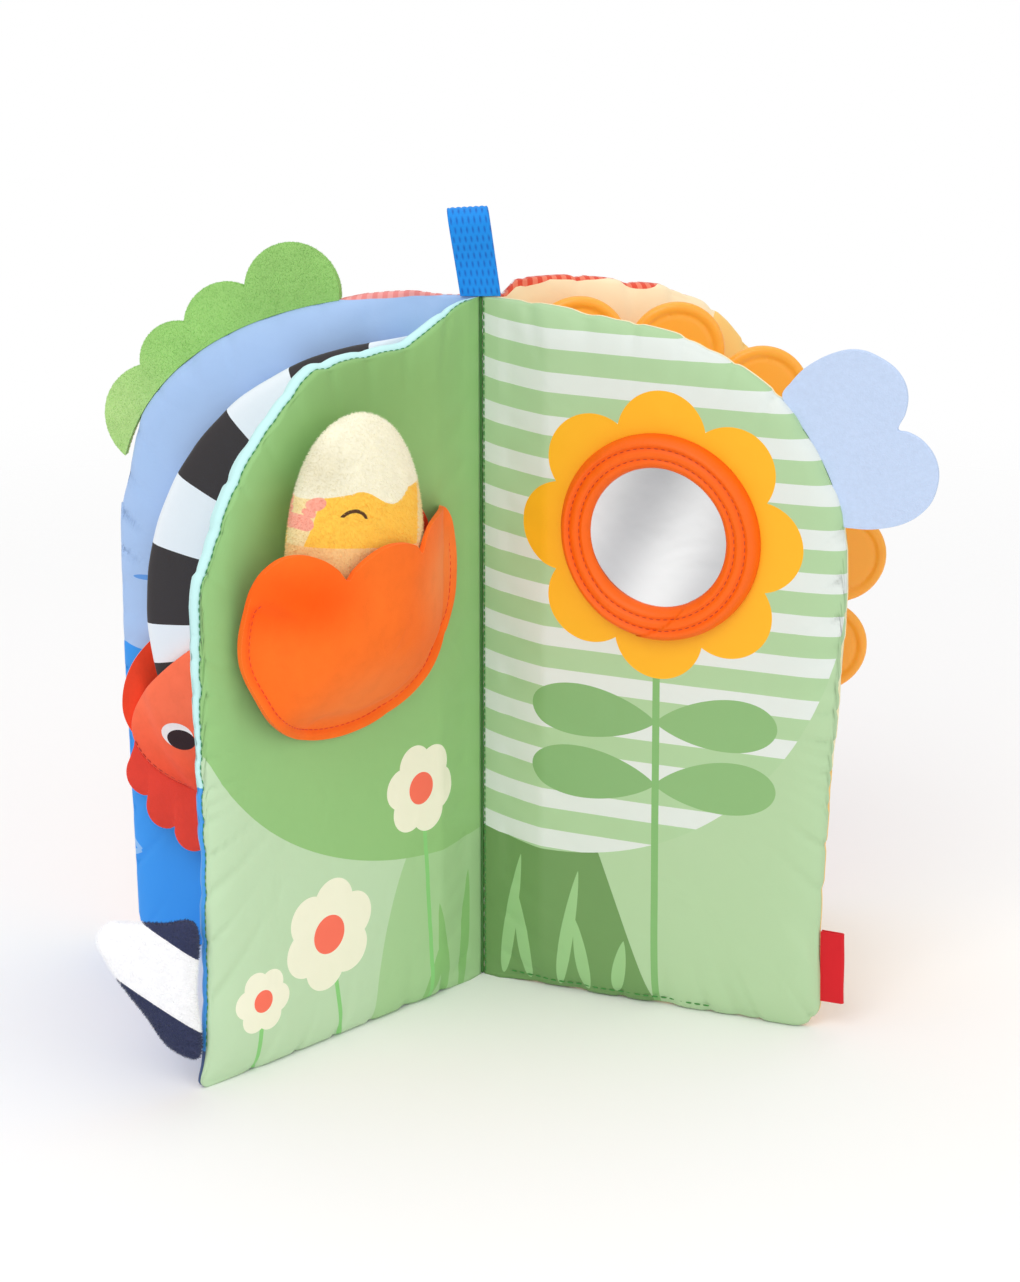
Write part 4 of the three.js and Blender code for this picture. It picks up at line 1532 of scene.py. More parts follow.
def paint_slider(page: PagePrint) -> None:
    """Coral, redder below, with a black eye and its white rim.

    Args:
        page: the print.
    """
    page.ground("#FF7552")
    low = add_node(
        page.tree, "ShaderNodeMapRange",
        links={"Value": page.up, "From Min": 64.0, "From Max": 92.0, "To Min": 1.0, "To Max": 0.0}
    )
    page.lay(low.outputs[0], "#FA5335")
    page.lay(page.oval((96.2, 84.2), (5.7, 4.1), 8), "#F4E9E6")
    page.lay(page.oval((94.8, 82.8), (5.0, 3.4), 6), "#3A2A2C")


def paint_track(page: PagePrint) -> None:
    """White with black blocks. The page runs along the track in degrees, from 90 below the level.

    Args:
        page: the print.
    """
    page.ground("#ECF2F8")
    below = page.sum("LESS_THAN", page.across, 80.0)
    blocks = page.stripes(page.sum("MULTIPLY_ADD", below, -7.3, page.across), 95.4, 32.8, 0.52)
    page.lay(blocks, "#332E30")


WEB_COLUMN = 12.7 / 7  # one column of the webbing's strands
WEB_PICK = 2.9  # from a strand to the next column's strand, along the tape


def paint_webbing(page: PagePrint) -> None:
    """Blue strands, with painted shade darkening the gaps between them. The page is the tape: across it and
    along it.

    Args:
        page: the print.
    """
    page.ground("#0C8CE8")
    column = page.sum("COSINE", page.sum("MULTIPLY", page.across, 2 * math.pi / WEB_COLUMN))
    pick = page.sum("COSINE", page.sum("MULTIPLY", page.up, math.pi / WEB_PICK))
    strand = page.sum("MULTIPLY_ADD", page.sum("MULTIPLY", column, pick), 0.5, 0.5)
    # painted shade: the gaps between the strands darkened
    painted_gap_shade = page.sum("MULTIPLY_ADD", strand, -2.2, 1.0)
    page.lay(page.sum("MAXIMUM", painted_gap_shade, 0.0), "#0B66C0")


# Outlines


# The cloud's free outline on the leaf's plane in millimetres, from the arch above round to the arch below
CLOUD_LOBES: Knots = (
    (99.6, 207.6), (102.4, 212.0), (106.0, 216.2), (110.8, 219.7), (115.3, 222.0), (120.2, 223.5),
    (125.0, 223.5), (129.5, 222.0), (134.6, 219.0), (137.8, 214.8), (138.9, 210.2), (138.2, 205.2),
    (136.2, 200.2), (139.3, 199.7), (143.5, 197.8), (147.4, 193.7), (149.2, 188.8), (149.0, 183.5),
    (147.1, 178.1), (143.4, 173.9), (138.8, 171.0), (133.9, 169.3), (128.4, 168.2), (123.4, 168.0)
)

# The pocket's outline on the page in millimetres: sewn down one side, round the foot and up the
# other, then free along its three petals' tops
POCKET_OUTLINE: Knots = (
    (109.2, 161.2), (110.4, 153.4), (111.3, 143.5), (110.9, 135.1), (108.8, 127.5), (104.0, 118.4),
    (94.3, 110.6), (82.5, 105.6), (71.2, 103.8), (59.8, 104.2), (50.1, 106.6), (44.0, 109.9), (37.5, 115.2),
    (30.0, 121.8), (22.9, 129.2), (18.4, 138.0), (17.2, 147.0), (18.4, 156.2), (20.6, 163.8), (25.0, 168.4),
    (31.9, 169.7), (39.5, 170.6), (46.0, 170.2), (51.0, 167.6), (54.8, 163.9), (57.8, 166.9), (63.6, 169.3),
    (70.6, 170.5), (75.9, 169.9), (81.3, 168.0), (85.6, 165.4), (88.1, 162.9), (91.3, 166.8), (95.6, 170.4),
    (100.0, 172.1), (103.9, 171.2), (107.1, 167.2)
)
BACK_PETAL_SHARES: Knots = (
    (0.9, 0.5), (0.4, 0.98), (-0.4, 0.9), (-1, 0.3), (-0.9, -0.5), (0, -1), (0.9, -0.6)
)
TAIL_SHARES: Knots = (
    (0, 0), (0.28, 0.1), (0.52, 0.36), (0.88, 0.76), (1, 0.98), (0.88, 1.08), (0.6, 1.06), (0.3, 1.02),
    (0, 1), (0, 0.5)
)


# Sub-assemblies


@dataclass
class MirrorPage:
    """The leaf with the mirror, the cloud flap and the side tag."""

    leaf: Leaf
    sewing: Sewing
    place: Place = (62.5, 160.0)
    mirror_radius: float = 24.0
    ring_inner: float = 22.4
    ring_outer: float = 33.0
    ring_height: float = 4.0
    ring_steps: int = 480
    ring_across: int = 34
    row_radii: Place = (29.3, 25.8)
    lap: float = 0.75
    lap_degrees: float = 75.0
    tag_width: float = 24.0
    tag_reach: float = 8.0
    tag_height: float = 22.0
    tag_half: float = 0.9
    tag_ribbon: float = 0.55
    tag_root: float = 0.3
    cloud_middle: Place = (124.0, 196.0)
    cloud_half: float = 0.8
    cloud_seam: Place = (111.3, 187.8)
    cloud_out: Place = (0.857, 0.514)
    cloud_bend: Place = (2.5, 9.5)

    def build(self) -> None:
        """Makes the leaf and all that is on it."""
        self.leaf.build()
        self._mirror()
        self._ring()
        self._ring_stitches()
        self._cloud()
        self._tag()
        green = self.sewing.thread("meadow", "#3E8A3A")
        rows = [self.leaf.gutter_row(Face.AWAY_FROM_Y)]
        self.sewing.stitches.sew("gutter_stitches", self.leaf.body, rows, green, 2.2, 1.7, 0.5)
        closing = [self.leaf.on_page(Face.AWAY_FROM_Y, 12 + 68 * i / 60, 3.2, 0.1) for i in range(61)]
        self.sewing.stitches.sew("closing_stitches", self.leaf.body, [closing], green, 2.9, 2.2, 0.6)

    def _on_ring(self, turn: float, radius: float, lift: float) -> Vector:
        """A place on the mirror's round, by its turn and radius, lifted off the page's crown."""
        r, z = round_place(self.place, radius, turn)
        return self.leaf.point(r, -(self.leaf.shape.half(r, z) + lift), z)

    def _mirror(self) -> None:
        """Makes the mirror film with its gently domed face."""
        crown = self.leaf.shape.half(*self.place)
        made = self.leaf.ring_body(
            "mirror_film",
            [round_place(self.place, self.mirror_radius, 2 * math.pi * i / 120) for i in range(120)],
            self.place, [i / 14 for i in range(1, 15)], lambda r, z, share: -(crown + 1.25 - 0.25 * share),
            lambda r, z, share: -(crown - 0.4), MIRROR_FILM.material("mirror_film", paint_mirror)
        )
        settle(made, self.leaf.body, ["mirror_disc"])

    def ring_lift(self, turn: float, radius: float) -> float:
        """The ring's height off the page: two rolls and a lip between sewn grooves, with a lapped end.

        Args:
            turn: the place's angle in radians.
            radius: its radius.

        Returns:
            The height.
        """
        share = (radius - self.ring_inner) / (self.ring_outer - self.ring_inner)
        lift = self.ring_height * (max(0.0, 1 - abs(2 * share - 1) ** 3.2)) ** 0.5
        roll = (self.ring_outer + self.row_radii[0]) / 2
        lift += 0.7 * math.exp(-(((radius - roll) / 1.3) ** 2))
        for row in self.row_radii:
            lift -= 0.95 * math.exp(-(((radius - row) / 0.6) ** 2))
        cord = math.sin(turn * 120 + radius * 2.2)
        lift += 0.045 * cord * smoothstep(self.row_radii[0], self.row_radii[0] + 1, radius)
        past = math.degrees(turn) % 360 - (258 + 40 * (1 - share))
        if 0 <= past < self.lap_degrees:
            lift += self.lap * (1 - past / self.lap_degrees)
        return lift + 0.1 * rough(math.cos(turn) * 7, math.sin(turn) * 7, radius / 3)

    def _ring(self) -> None:
        """Makes the padded vinyl frame that holds the mirror."""
        across = self.ring_across
        width = self.ring_outer - self.ring_inner
        profile = [
            self.ring_outer - width * (0.5 - 0.5 * math.cos(math.pi * k / across)) for k in range(across + 1)
        ]
        points: list[Vector] = []
        for i in range(self.ring_steps):
            turn = 2 * math.pi * i / self.ring_steps
            points.extend(
                self._on_ring(turn, radius, 0.6 + self.ring_lift(turn, radius)) for radius in profile
            )
            points.append(self._on_ring(turn, self.ring_inner, 0.3))
            points.append(self._on_ring(turn, self.ring_outer, -0.8))
        look = VINYL.material("orange_vinyl", "#FB6800")
        made = mesh_object("mirror_frame", points, tube_faces(self.ring_steps, across + 3, True), [look])
        settle(made, self.leaf.body, ["mirror_ring"])

    def _ring_stitches(self) -> None:
        """Sews the frame's two rows."""
        rows = []
        for row in self.row_radii:
            turns = [2 * math.pi * i / 240 for i in range(241)]
            rows.append([self._on_ring(t, row, 0.75 + self.ring_lift(t, row)) for t in turns])
        thread = self.sewing.thread("frame", "#C9481A")
        self.sewing.stitches.sew("mirror_frame_stitches", self.leaf.body, rows, thread, 2.3, 1.5, 0.38)

    def _cloud(self) -> None:
        """Makes the felt cloud: two lobes, with a root along the leaf's arch."""
        arch = [place for place in self.leaf.shape.edge_path(0.6, 100.0) if 168.0 < place[1] < 206.0]
        outline = loop_curve([*CLOUD_LOBES, *arch[::4]], 300)
        shares = [0.2, 0.4, 0.6, 0.75, 0.87, 0.95, 1.0]
        look = FELT.material("blue_felt", "#C3D5F2")

        def front(r: float, z: float, share: float) -> float:
            """The felt's front, with a soft swell."""
            return self.cloud_half + 0.3 * rough(r / 11, z / 11, 6.0) * (1 - share)

        def back(r: float, z: float, share: float) -> float:
            """The felt's back."""
            return front(r, z, share) - 2 * self.cloud_half

        made = self.leaf.ring_body("cloud_felt", outline, self.cloud_middle, shares, front, back, look)
        plain_mesh(soften_edges(made, 0.5))
        (r, z), (aside, up) = self.cloud_seam, self.cloud_out
        start, end = (self.leaf.point(r + aside * out, 0.0, z + up * out) * MM for out in self.cloud_bend)
        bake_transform(made)
        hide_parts("cloud_flap")

    def _tag(self) -> None:
        """Makes the folded ribbon tag."""
        steps, across = 12, 24
        fold = (self.tag_reach - self.tag_half, 0.0)
        section: list[Place] = []
        for half, way in ((self.tag_half, 1), (self.tag_half - self.tag_ribbon, -1)):
            arc = [round_place(fold, half, way * math.pi * (i / steps - 0.5)) for i in range(steps + 1)]
            section += [(self.tag_root, -way * half), *arc, (self.tag_root, way * half)]
        sides = len(section)
        points: list[Vector] = []
        for i in range(across + 1):
            z = self.tag_height + self.tag_width * (i / across - 0.5)
            sway = 0.35 * math.sin(z / 3.1)
            root = self.leaf.shape.width * self.leaf.shape.drawn(z) - 0.4
            points.extend(self.leaf.point(root + x, y + sway * x / self.tag_reach, z) for x, y in section)
        faces = tube_faces(across + 1, sides, ends=False)
        for base in (0, across * sides):
            for k in range(sides // 2 - 1):
                faces.append((base + k, base + k + 1, base + sides - 2 - k, base + sides - 1 - k))
        look = RIBBON.material("red_ribbon", "#D4121F")
        made = plain_mesh(soften_edges(mesh_object("side_tag_ribbon", points, faces, [look]), 0.15, 2))
        width = self.leaf.shape.width
        start, end = (self.leaf.point(r, 0.0, self.tag_height) * MM for r in (width - 4.5, width + 1.5))
        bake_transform(made)
        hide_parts("side_tag")


def cut_sheet(node: str, name: str, look: Look, angle: float, soft: float) -> Piece:
    """Makes a cut sheet with rounded edges from a flat node's own outline.

    Args:
        node: the node whose outline it has.
        name: the piece's name.
        look: its material.
        angle: its leaf's turn in degrees, for its page map.
        soft: the edges' rounding in millimetres.

    Returns:
        The piece.
    """
    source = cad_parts[node]
    mesh = source.data.copy()
    shape = bmesh.new()
    shape.from_mesh(mesh)
    bmesh.ops.remove_doubles(shape, verts=shape.verts, dist=0.005 * MM)
    bmesh.ops.dissolve_limit(shape, angle_limit=math.radians(1), verts=shape.verts, edges=shape.edges)
    bmesh.ops.recalc_face_normals(shape, faces=shape.faces)
    shape.to_mesh(mesh)
    shape.free()
    along = Vector((math.cos(math.radians(angle)), math.sin(math.radians(angle)), 0.0))
    layer = mesh.uv_layers.new(name=PAGE_MAP)
    for corner in mesh.loops:
        place = mesh.vertices[corner.vertex_index].co
        layer.data[corner.index].uv = (place.dot(along) / MM / PAGE_SPAN, place.z / MM / PAGE_SPAN)
    mesh.materials.clear()
    mesh.materials.append(look)
    made = added(name, mesh)
    mesh.shade_smooth()
    return soften_edges(made, soft)


@dataclass
class ChickPage:
    """The leaf with the flower pocket, the chick and the tail."""

    leaf: Leaf
    sewing: Sewing
    pocket: Place = (70.0, 132.0)
    pocket_foot: float = 106.5
    pocket_cloth: float = 1.6
    belly: float = 25.0
    belly_middle: float = 75.0
    belly_rise: float = 39.5
    belly_half: Place = (50.0, 37.5)
    chick: Place = (72.2, 163.0)
    chick_half: float = 26.0
    chick_rise: float = 45.0
    chick_drop: float = 41.0
    chick_power: float = 2.15
    chick_puff: float = 11.0
    chick_off: float = 18.0
    hem: float = 3.3
    hem_slack: float = 10.0
    hem_heights: Place = (161.0, 154.0)
    tail_reach: float = 30.0
    tail_low: float = 11.0
    tail_high: float = 55.5
    tail_turn: float = 25.0
    tail_thick: float = 9.0
    tail_seam: float = 1.4
    petal: Place = (38.0, 158.0)

    def build(self) -> None:
        """Makes the leaf and all that is on it."""
        self.leaf.build()
        self._pocket()
        self._back_petal()
        self._chick()
        self._tail()
        green = self.sewing.thread("leaf_seam", "#2F8F55")
        rows = [self.leaf.seam_row(14.0, 0.1)]
        self.sewing.stitches.sew("leaf_seam_stitches", self.leaf.body, rows, green, 2.4, 1.6, 0.35)

    def _bulge(self, r: float, z: float) -> float:
        """How far the pocket's front stands off the page, to hold the chick.

        Args:
            r: its distance from the spine.
            z: its height.

        Returns:
            The offset.
        """
        up = min(1.0, max(0.0, (z - self.pocket_foot) / self.belly_rise))
        aside = r - self.belly_middle
        inner, outer = self.belly_half
        fall = min(1.0, aside / outer) ** 3.2 if aside > 0 else min(1.0, -aside / inner) ** 2
        return self.belly * math.sin(math.pi / 2 * up) * (1 - fall)

    def _pocket(self) -> None:
        """Makes the velour pocket with its sewn hem."""
        outline = loop_curve(POCKET_OUTLINE, 260)
        ramp = self.leaf.shape.page_ramp

        def low(r: float, z: float, share: float) -> float:
            """The pocket's inner face, held down over its hem where it is sewn.

            Args:
                r: its distance from the spine.
                z: its height.
                share: the ring's share of the way out.

            Returns:
                The offset.
            """
            whole = max(share, 1e-3)
            rim = part_way(self.pocket, (r, z), 1 / whole)
            free, held = self._bulge(r, z), self._bulge(*rim)
            rise = smoothstep(0.8 * self.hem, 0.8 * self.hem + self.hem_slack, math.dist((r, z), rim))
            sewn = (1 - rise) * smoothstep(*self.hem_heights, rim[1])
            return self.leaf.shape.half(r, z, ramp) + 0.35 + free + (held - free) * sewn

        def high(r: float, z: float, share: float) -> float:
            """The pocket's outer face, with the groove of its hem's stitching.

            Args:
                r: its distance from the spine.
                z: its height.
                share: the ring's share of the way out.

            Returns:
                The offset.
            """
            from_centre = math.hypot(r - self.pocket[0], z - self.pocket[1])
            inside = from_centre / max(share, 1e-3) * (1 - share)
            groove = 0.85 * math.exp(-(((inside - self.hem) / 0.9) ** 2)) * smoothstep(*self.hem_heights, z)
            soft = 0.5 * rough(r / 14, z / 14, 5.0)
            return low(r, z, share) + self.pocket_cloth + 0.25 + soft - groove

        shares = [
            0.15, 0.3, 0.42, 0.52, 0.61, 0.69, 0.76, 0.82, 0.86, 0.89, 0.915, 0.935, 0.955, 0.975, 0.99, 1.0
        ]
        look = VELOUR.material("orange_velour", paint_pocket)
        made = self.leaf.ring_body("flower_pocket_velour", outline, self.pocket, shares, high, low, look)
        soften_edges(made, 0.5, 3, VELOUR.material("pocket_edge", "#FFA878"))
        settle(made, self.leaf.body, ["flower_pocket"])
        row = []
        for spot in (place for place in outline if place[1] < 157.0):
            share = 1 - self.hem / math.dist(spot, self.pocket)
            place = part_way(self.pocket, spot, share)
            row.append(self.leaf.point(place[0], high(*place, share) + 0.1, place[1]))
        thread = self.sewing.thread("pocket", "#E8430C")
        self.sewing.stitches.sew("flower_pocket_stitches", self.leaf.body, [row], thread, 2.2, 1.8, 0.45)

    def _back_petal(self) -> None:
        """Makes the petal behind the chick."""
        knots = [
            (self.petal[0] + across * 8.0, self.petal[1] + up * 14.0) for across, up in BACK_PETAL_SHARES
        ]
        half = self.leaf.shape.half
        ramp = self.leaf.shape.page_ramp
        made = self.leaf.ring_body(
            "flower_back_petal_velour", loop_curve(knots, 64), self.petal, [0.3, 0.6, 0.85, 1.0],
            lambda r, z, share: half(r, z, ramp) + 1.3, lambda r, z, share: half(r, z, ramp) + 0.1,
            VELOUR.material("coral_petal", "#F5502A")
        )
        soften_edges(made, 0.3, 2)
        settle(made, self.leaf.body, ["flower_back_petal"])

    def _chick(self) -> None:
        """Makes the stuffed chick: an egg shape with a printed cap, cheek and closed eye."""
        outline = []
        for i in range(120):
            turn = 2 * math.pi * i / 120
            across, up = math.cos(turn), math.sin(turn)
            reach = (abs(across) ** self.chick_power + abs(up) ** self.chick_power) ** (-1 / self.chick_power)
            reach *= 1 + 0.016 * rough(2.4 * across, 2.4 * up, 4.0)
            outline.append(
                (
                    self.chick[0] + (across * reach - 0.04 * max(0.0, up)) * self.chick_half,
                    self.chick[1] + up * reach * (self.chick_rise if up > 0 else self.chick_drop)
                )
            )

        def puff(share: float, r: float, z: float) -> float:
            """Half of the chick's thickness."""
            return 0.4 + (self.chick_puff + 0.35 * rough(r / 9, z / 9, 2.0)) * dome(share)

        look = PLUSH.material("chick_plush", paint_chick)
        made = self.leaf.ring_body(
            "chick_plush", outline, self.chick, dome_shares(16),
            lambda r, z, share: self.chick_off + puff(share, r, z),
            lambda r, z, share: self.chick_off - puff(share, r, z), look
        )
        settle(made, "chick", ["chick"])
        self.sewing.pile.grow(made, "chick", look, 4.6, 0.75, 0.16, (-0.2, 0.2, -0.5))

    def _tail(self) -> None:
        """Makes the plush tail at the leaf's outer seam."""
        height = self.tail_high - self.tail_low
        knots = [(across * self.tail_reach, self.tail_low + up * height) for across, up in TAIL_SHARES]
        outline = loop_curve(knots, 110)
        centre = (0.36 * self.tail_reach, self.tail_low + 0.62 * height)
        shares = dome_shares(14)
        root = self.leaf.shape.width * self.leaf.shape.drawn(self.tail_low) + 3 * CLEARANCE + self.tail_seam
        turn = math.radians(-self.tail_turn)
        look = PLUSH.material("navy_plush", paint_tail)
        points: list[Vector] = []
        page: list[Place] = []
        for side in (1, -1):
            for share in [0.0, *shares]:
                for spot in outline if share else [centre]:
                    x, up = part_way(centre, spot, share)
                    thick = (self.tail_thick - self.tail_seam) / 2 + 0.3 * rough(x / 8, up / 8, side * 4.0)
                    out, off = turned(x, side * (self.tail_seam / 2 + thick * dome(share)), turn)
                    points.append(self.leaf.point(root + out, off, up))
                    page.append((x + 50, up))
        made = mesh_object("tail_plush", points, ring_faces(len(outline), len(shares)), [look], page)
        settle(made, "tail", ["plush_tail"])
        self.sewing.pile.grow(made, "tail", look, 7.0, 0.75, 0.16, (0.3, 0.0, 0.2))


@dataclass
class SeaCover:
    """The cover with the striped track, the sea creature that slides on it, and the bush flap."""

    leaf: Leaf
    sewing: Sewing
    centre: Place = (15.7, 124.0)
    track_radius: float = 82.4
    track_width: float = 22.0
    track_thick: float = 8.0
    track_from: float = -68.0
    track_to: float = 86.0
    track_tab: float = 8.0
    track_off: float = 13.2
    slider_turn: float = -31.0
    slider_inset: float = 2.4
    slider_half: float = 31.0
    slider_rise: float = 33.0
    slider_drop: float = 21.0
    slider_puff: float = 5.0
    slider_back: float = 2.4
    skirt_cloth: float = 2.2
    drape: float = 8.0
    skirt_half: float = 31.5
    skirt_drop: float = 40.0
    back_shift: Place = (4.0, 6.0)
    skirt_from: float = 195.0
    skirt_to: float = 345.0
    lobes: int = 7
    lobe_depth: float = 4.5

    def build(self) -> None:
        """Makes the cover and all that is on it."""
        self.leaf.build()
        self._track()
        self._slider()
        look = VELOUR.material("green_velour", paint_bush)
        made = cut_sheet("bush_flap", "bush_plush", look, self.leaf.angle, 1.1)
        self.sewing.pile.grow(made, self.leaf.body, look, 9.0, 0.4, 0.11, (0.3, 0.0, 0.5))
        settle(made, self.leaf.body, ["bush_flap"])

    def _track(self) -> None:
        """Makes the padded striped tube. Its page map holds the angle along it and the turn round it."""
        points: list[Vector] = []
        page: list[Place] = []
        steps, sides = 230, 40
        tube = self.track_width / 2
        for i in range(steps + 1):
            degrees = self.track_from + (self.track_to - self.track_from) * i / steps
            angle = math.radians(degrees)
            from_end = min(degrees - self.track_from, self.track_to - degrees)
            open_share = min(1.0, from_end / self.track_tab)
            thick = self.track_thick / 2 * (0.3 + 0.7 * open_share)
            sewn = self.leaf.shape.half(*round_place(self.centre, self.track_radius, angle)) + 0.2 + thick
            lift = sewn + (self.track_off - sewn) * open_share
            soft = 0.4 * rough(degrees / 9, 0.0, 1.0)
            for k in range(sides):
                turn = 2 * math.pi * k / sides
                out, up = (
                    math.copysign(abs(side) ** 0.75, side) for side in (math.cos(turn), math.sin(turn))
                )
                rib = 0.07 * math.sin(out * tube * 2 * math.pi / 1.6)
                r, z = round_place(self.centre, self.track_radius + out * (tube + soft), angle)
                points.append(self.leaf.point(r, lift + up * (thick + rib), z))
                page.append((degrees + 90, 60 + out * tube))
        knit = RIBBED.material("striped_knit", paint_track)
        made = mesh_object("striped_track_knit", points, tube_faces(steps + 1, sides), [knit], page)
        settle(made, self.leaf.body, ["striped_track"])

    def _place(self) -> Place:
        """The slider's middle."""
        return round_place(self.centre, self.track_radius - self.slider_inset, math.radians(self.slider_turn))

    def _over_track(self, r: float, z: float) -> float:
        """How far the slider's cloth stands off the track's middle plane over the track.

        Args:
            r: its distance from the spine.
            z: its height.

        Returns:
            The offset.
        """
        aside = abs(math.dist((r, z), self.centre) - self.track_radius) - self.track_width / 2
        share = min(1.0, max(0.0, aside / self.drape))
        return (self.track_thick / 2 + 0.45) * (0.5 + 0.5 * math.cos(math.pi * share))

    def _head_outline(self, narrow: float, power: float) -> list[Place]:
        """A round outline that narrows towards its top.

        Args:
            narrow: by which share it narrows.
            power: how suddenly.

        Returns:
            The places.
        """
        middle = self._place()
        outline = []
        for i in range(120):
            turn = 2 * math.pi * i / 120
            up = math.sin(turn)
            across = math.cos(turn) * (1 - narrow * max(0.0, up) ** power)
            reach = self.slider_rise if up > 0 else self.slider_drop
            outline.append((middle[0] + across * self.slider_half, middle[1] + up * reach))
        return outline

    def _slider(self) -> None:
        """Makes the creature's head, its back and its skirt."""
        middle = self._place()
        outline = self._head_outline(0.5, 1.7)
        shares = dome_shares(16)
        base = self.track_off + 0.15

        def head_under(r: float, z: float, share: float) -> float:
            """The head's underside, which lies over the track."""
            return base + self._over_track(r, z) - 0.1 * (1 - share)

        def head_over(r: float, z: float, share: float) -> float:
            """The head's padded face."""
            soft = 0.35 * rough(r / 13, z / 13, 9.0) * (1 - share)
            return base + self.skirt_cloth + self._over_track(r, z) + self.slider_puff * dome(share) + soft

        look = VELOUR_PRINT.material("coral_head", paint_slider)
        head = self.leaf.ring_body("slider_head", outline, middle, shares, head_over, head_under, look)
        rim = VELOUR.material("coral_edge", "#F9B5A2")
        soften_edges(head, 0.5, 2, rim)
        settle(head, "slider", ["slider_front"])

        def back_over(r: float, z: float, share: float) -> float:
            """The back's upper face, below the track."""
            return self.track_off - 0.15 - self._over_track(r, z)

        def back_under(r: float, z: float, share: float) -> float:
            """The back's face towards the page."""
            return self.track_off - self.slider_back - self._over_track(r, z) + 0.15

        look = VELOUR.material("red_back", "#F2492C")
        shift = self.back_shift
        outline = [(r + shift[0], z + shift[1]) for r, z in self._head_outline(0.12, 2.0)]
        centre = (middle[0] + shift[0], middle[1] + shift[1])
        back = self.leaf.ring_body("slider_back_cloth", outline, centre, shares, back_over, back_under, look)
        soften_edges(back, 0.4, 2, rim)
        settle(back, "slider", ["slider_back"])
        self._skirt(middle, rim)
        crease = [
            (
                middle[0] + self.slider_half * 0.97 * math.cos(math.radians(t)),
                middle[1] + self.slider_drop * 0.93 * math.sin(math.radians(t))
            )
            for t in range(196, 345, 4)
        ]
        row = [self.leaf.point(r, head_over(r, z, 0.96) + 0.15, z) for r, z in crease]
        thread = self.sewing.thread("slider", "#C23524")
        self.sewing.stitches.sew("slider_stitches", "slider", [row], thread, 2.4, 1.9, 0.45)

    def _skirt(self, middle: Place, rim: Look) -> None:
        """Makes the scalloped skirt below the head's crease.

        Args:
            middle: the head's middle.
            rim: the cut edge's material.
        """
        columns, rows = self.lobes * 14, 12
        points: list[Vector] = []
        page: list[Place] = []
        for lift in (self.skirt_cloth, 0.0):
            for i in range(columns + 1):
                along = i / columns
                turn = math.radians(self.skirt_from + (self.skirt_to - self.skirt_from) * along)
                scallop = self.lobe_depth * abs(math.sin(math.pi * self.lobes * along)) ** 0.6
                flute = 0.55 * abs(math.sin(math.pi * self.lobes * along))
                for j in range(rows + 1):
                    share = j / rows
                    start = self.slider_half + CLEARANCE
                    across = start + (self.skirt_half + scallop - self.slider_half) * share
                    down = self.slider_drop + CLEARANCE
                    down += (self.skirt_drop + scallop - self.slider_drop) * share
                    r = middle[0] + across * math.cos(turn)
                    z = middle[1] + down * math.sin(turn)
                    off = self.track_off + 0.15 + self._over_track(r, z) + lift + flute * share
                    points.append(self.leaf.point(r, off, z))
                    page.append((r, z))
        look = VELOUR.material("red_skirt", "#EE4A3A")
        made = mesh_object("slider_skirt_velour", points, slab_faces(columns + 1, rows + 1), [look], page)
        soften_edges(made, 0.4, 2, rim)
        settle(made, "slider", ["slider_skirt"])


@dataclass
class SunCover:
    """The plain cover on the right."""

    leaf: Leaf

    def build(self) -> None:
        """Makes the cover."""
        self.leaf.build()


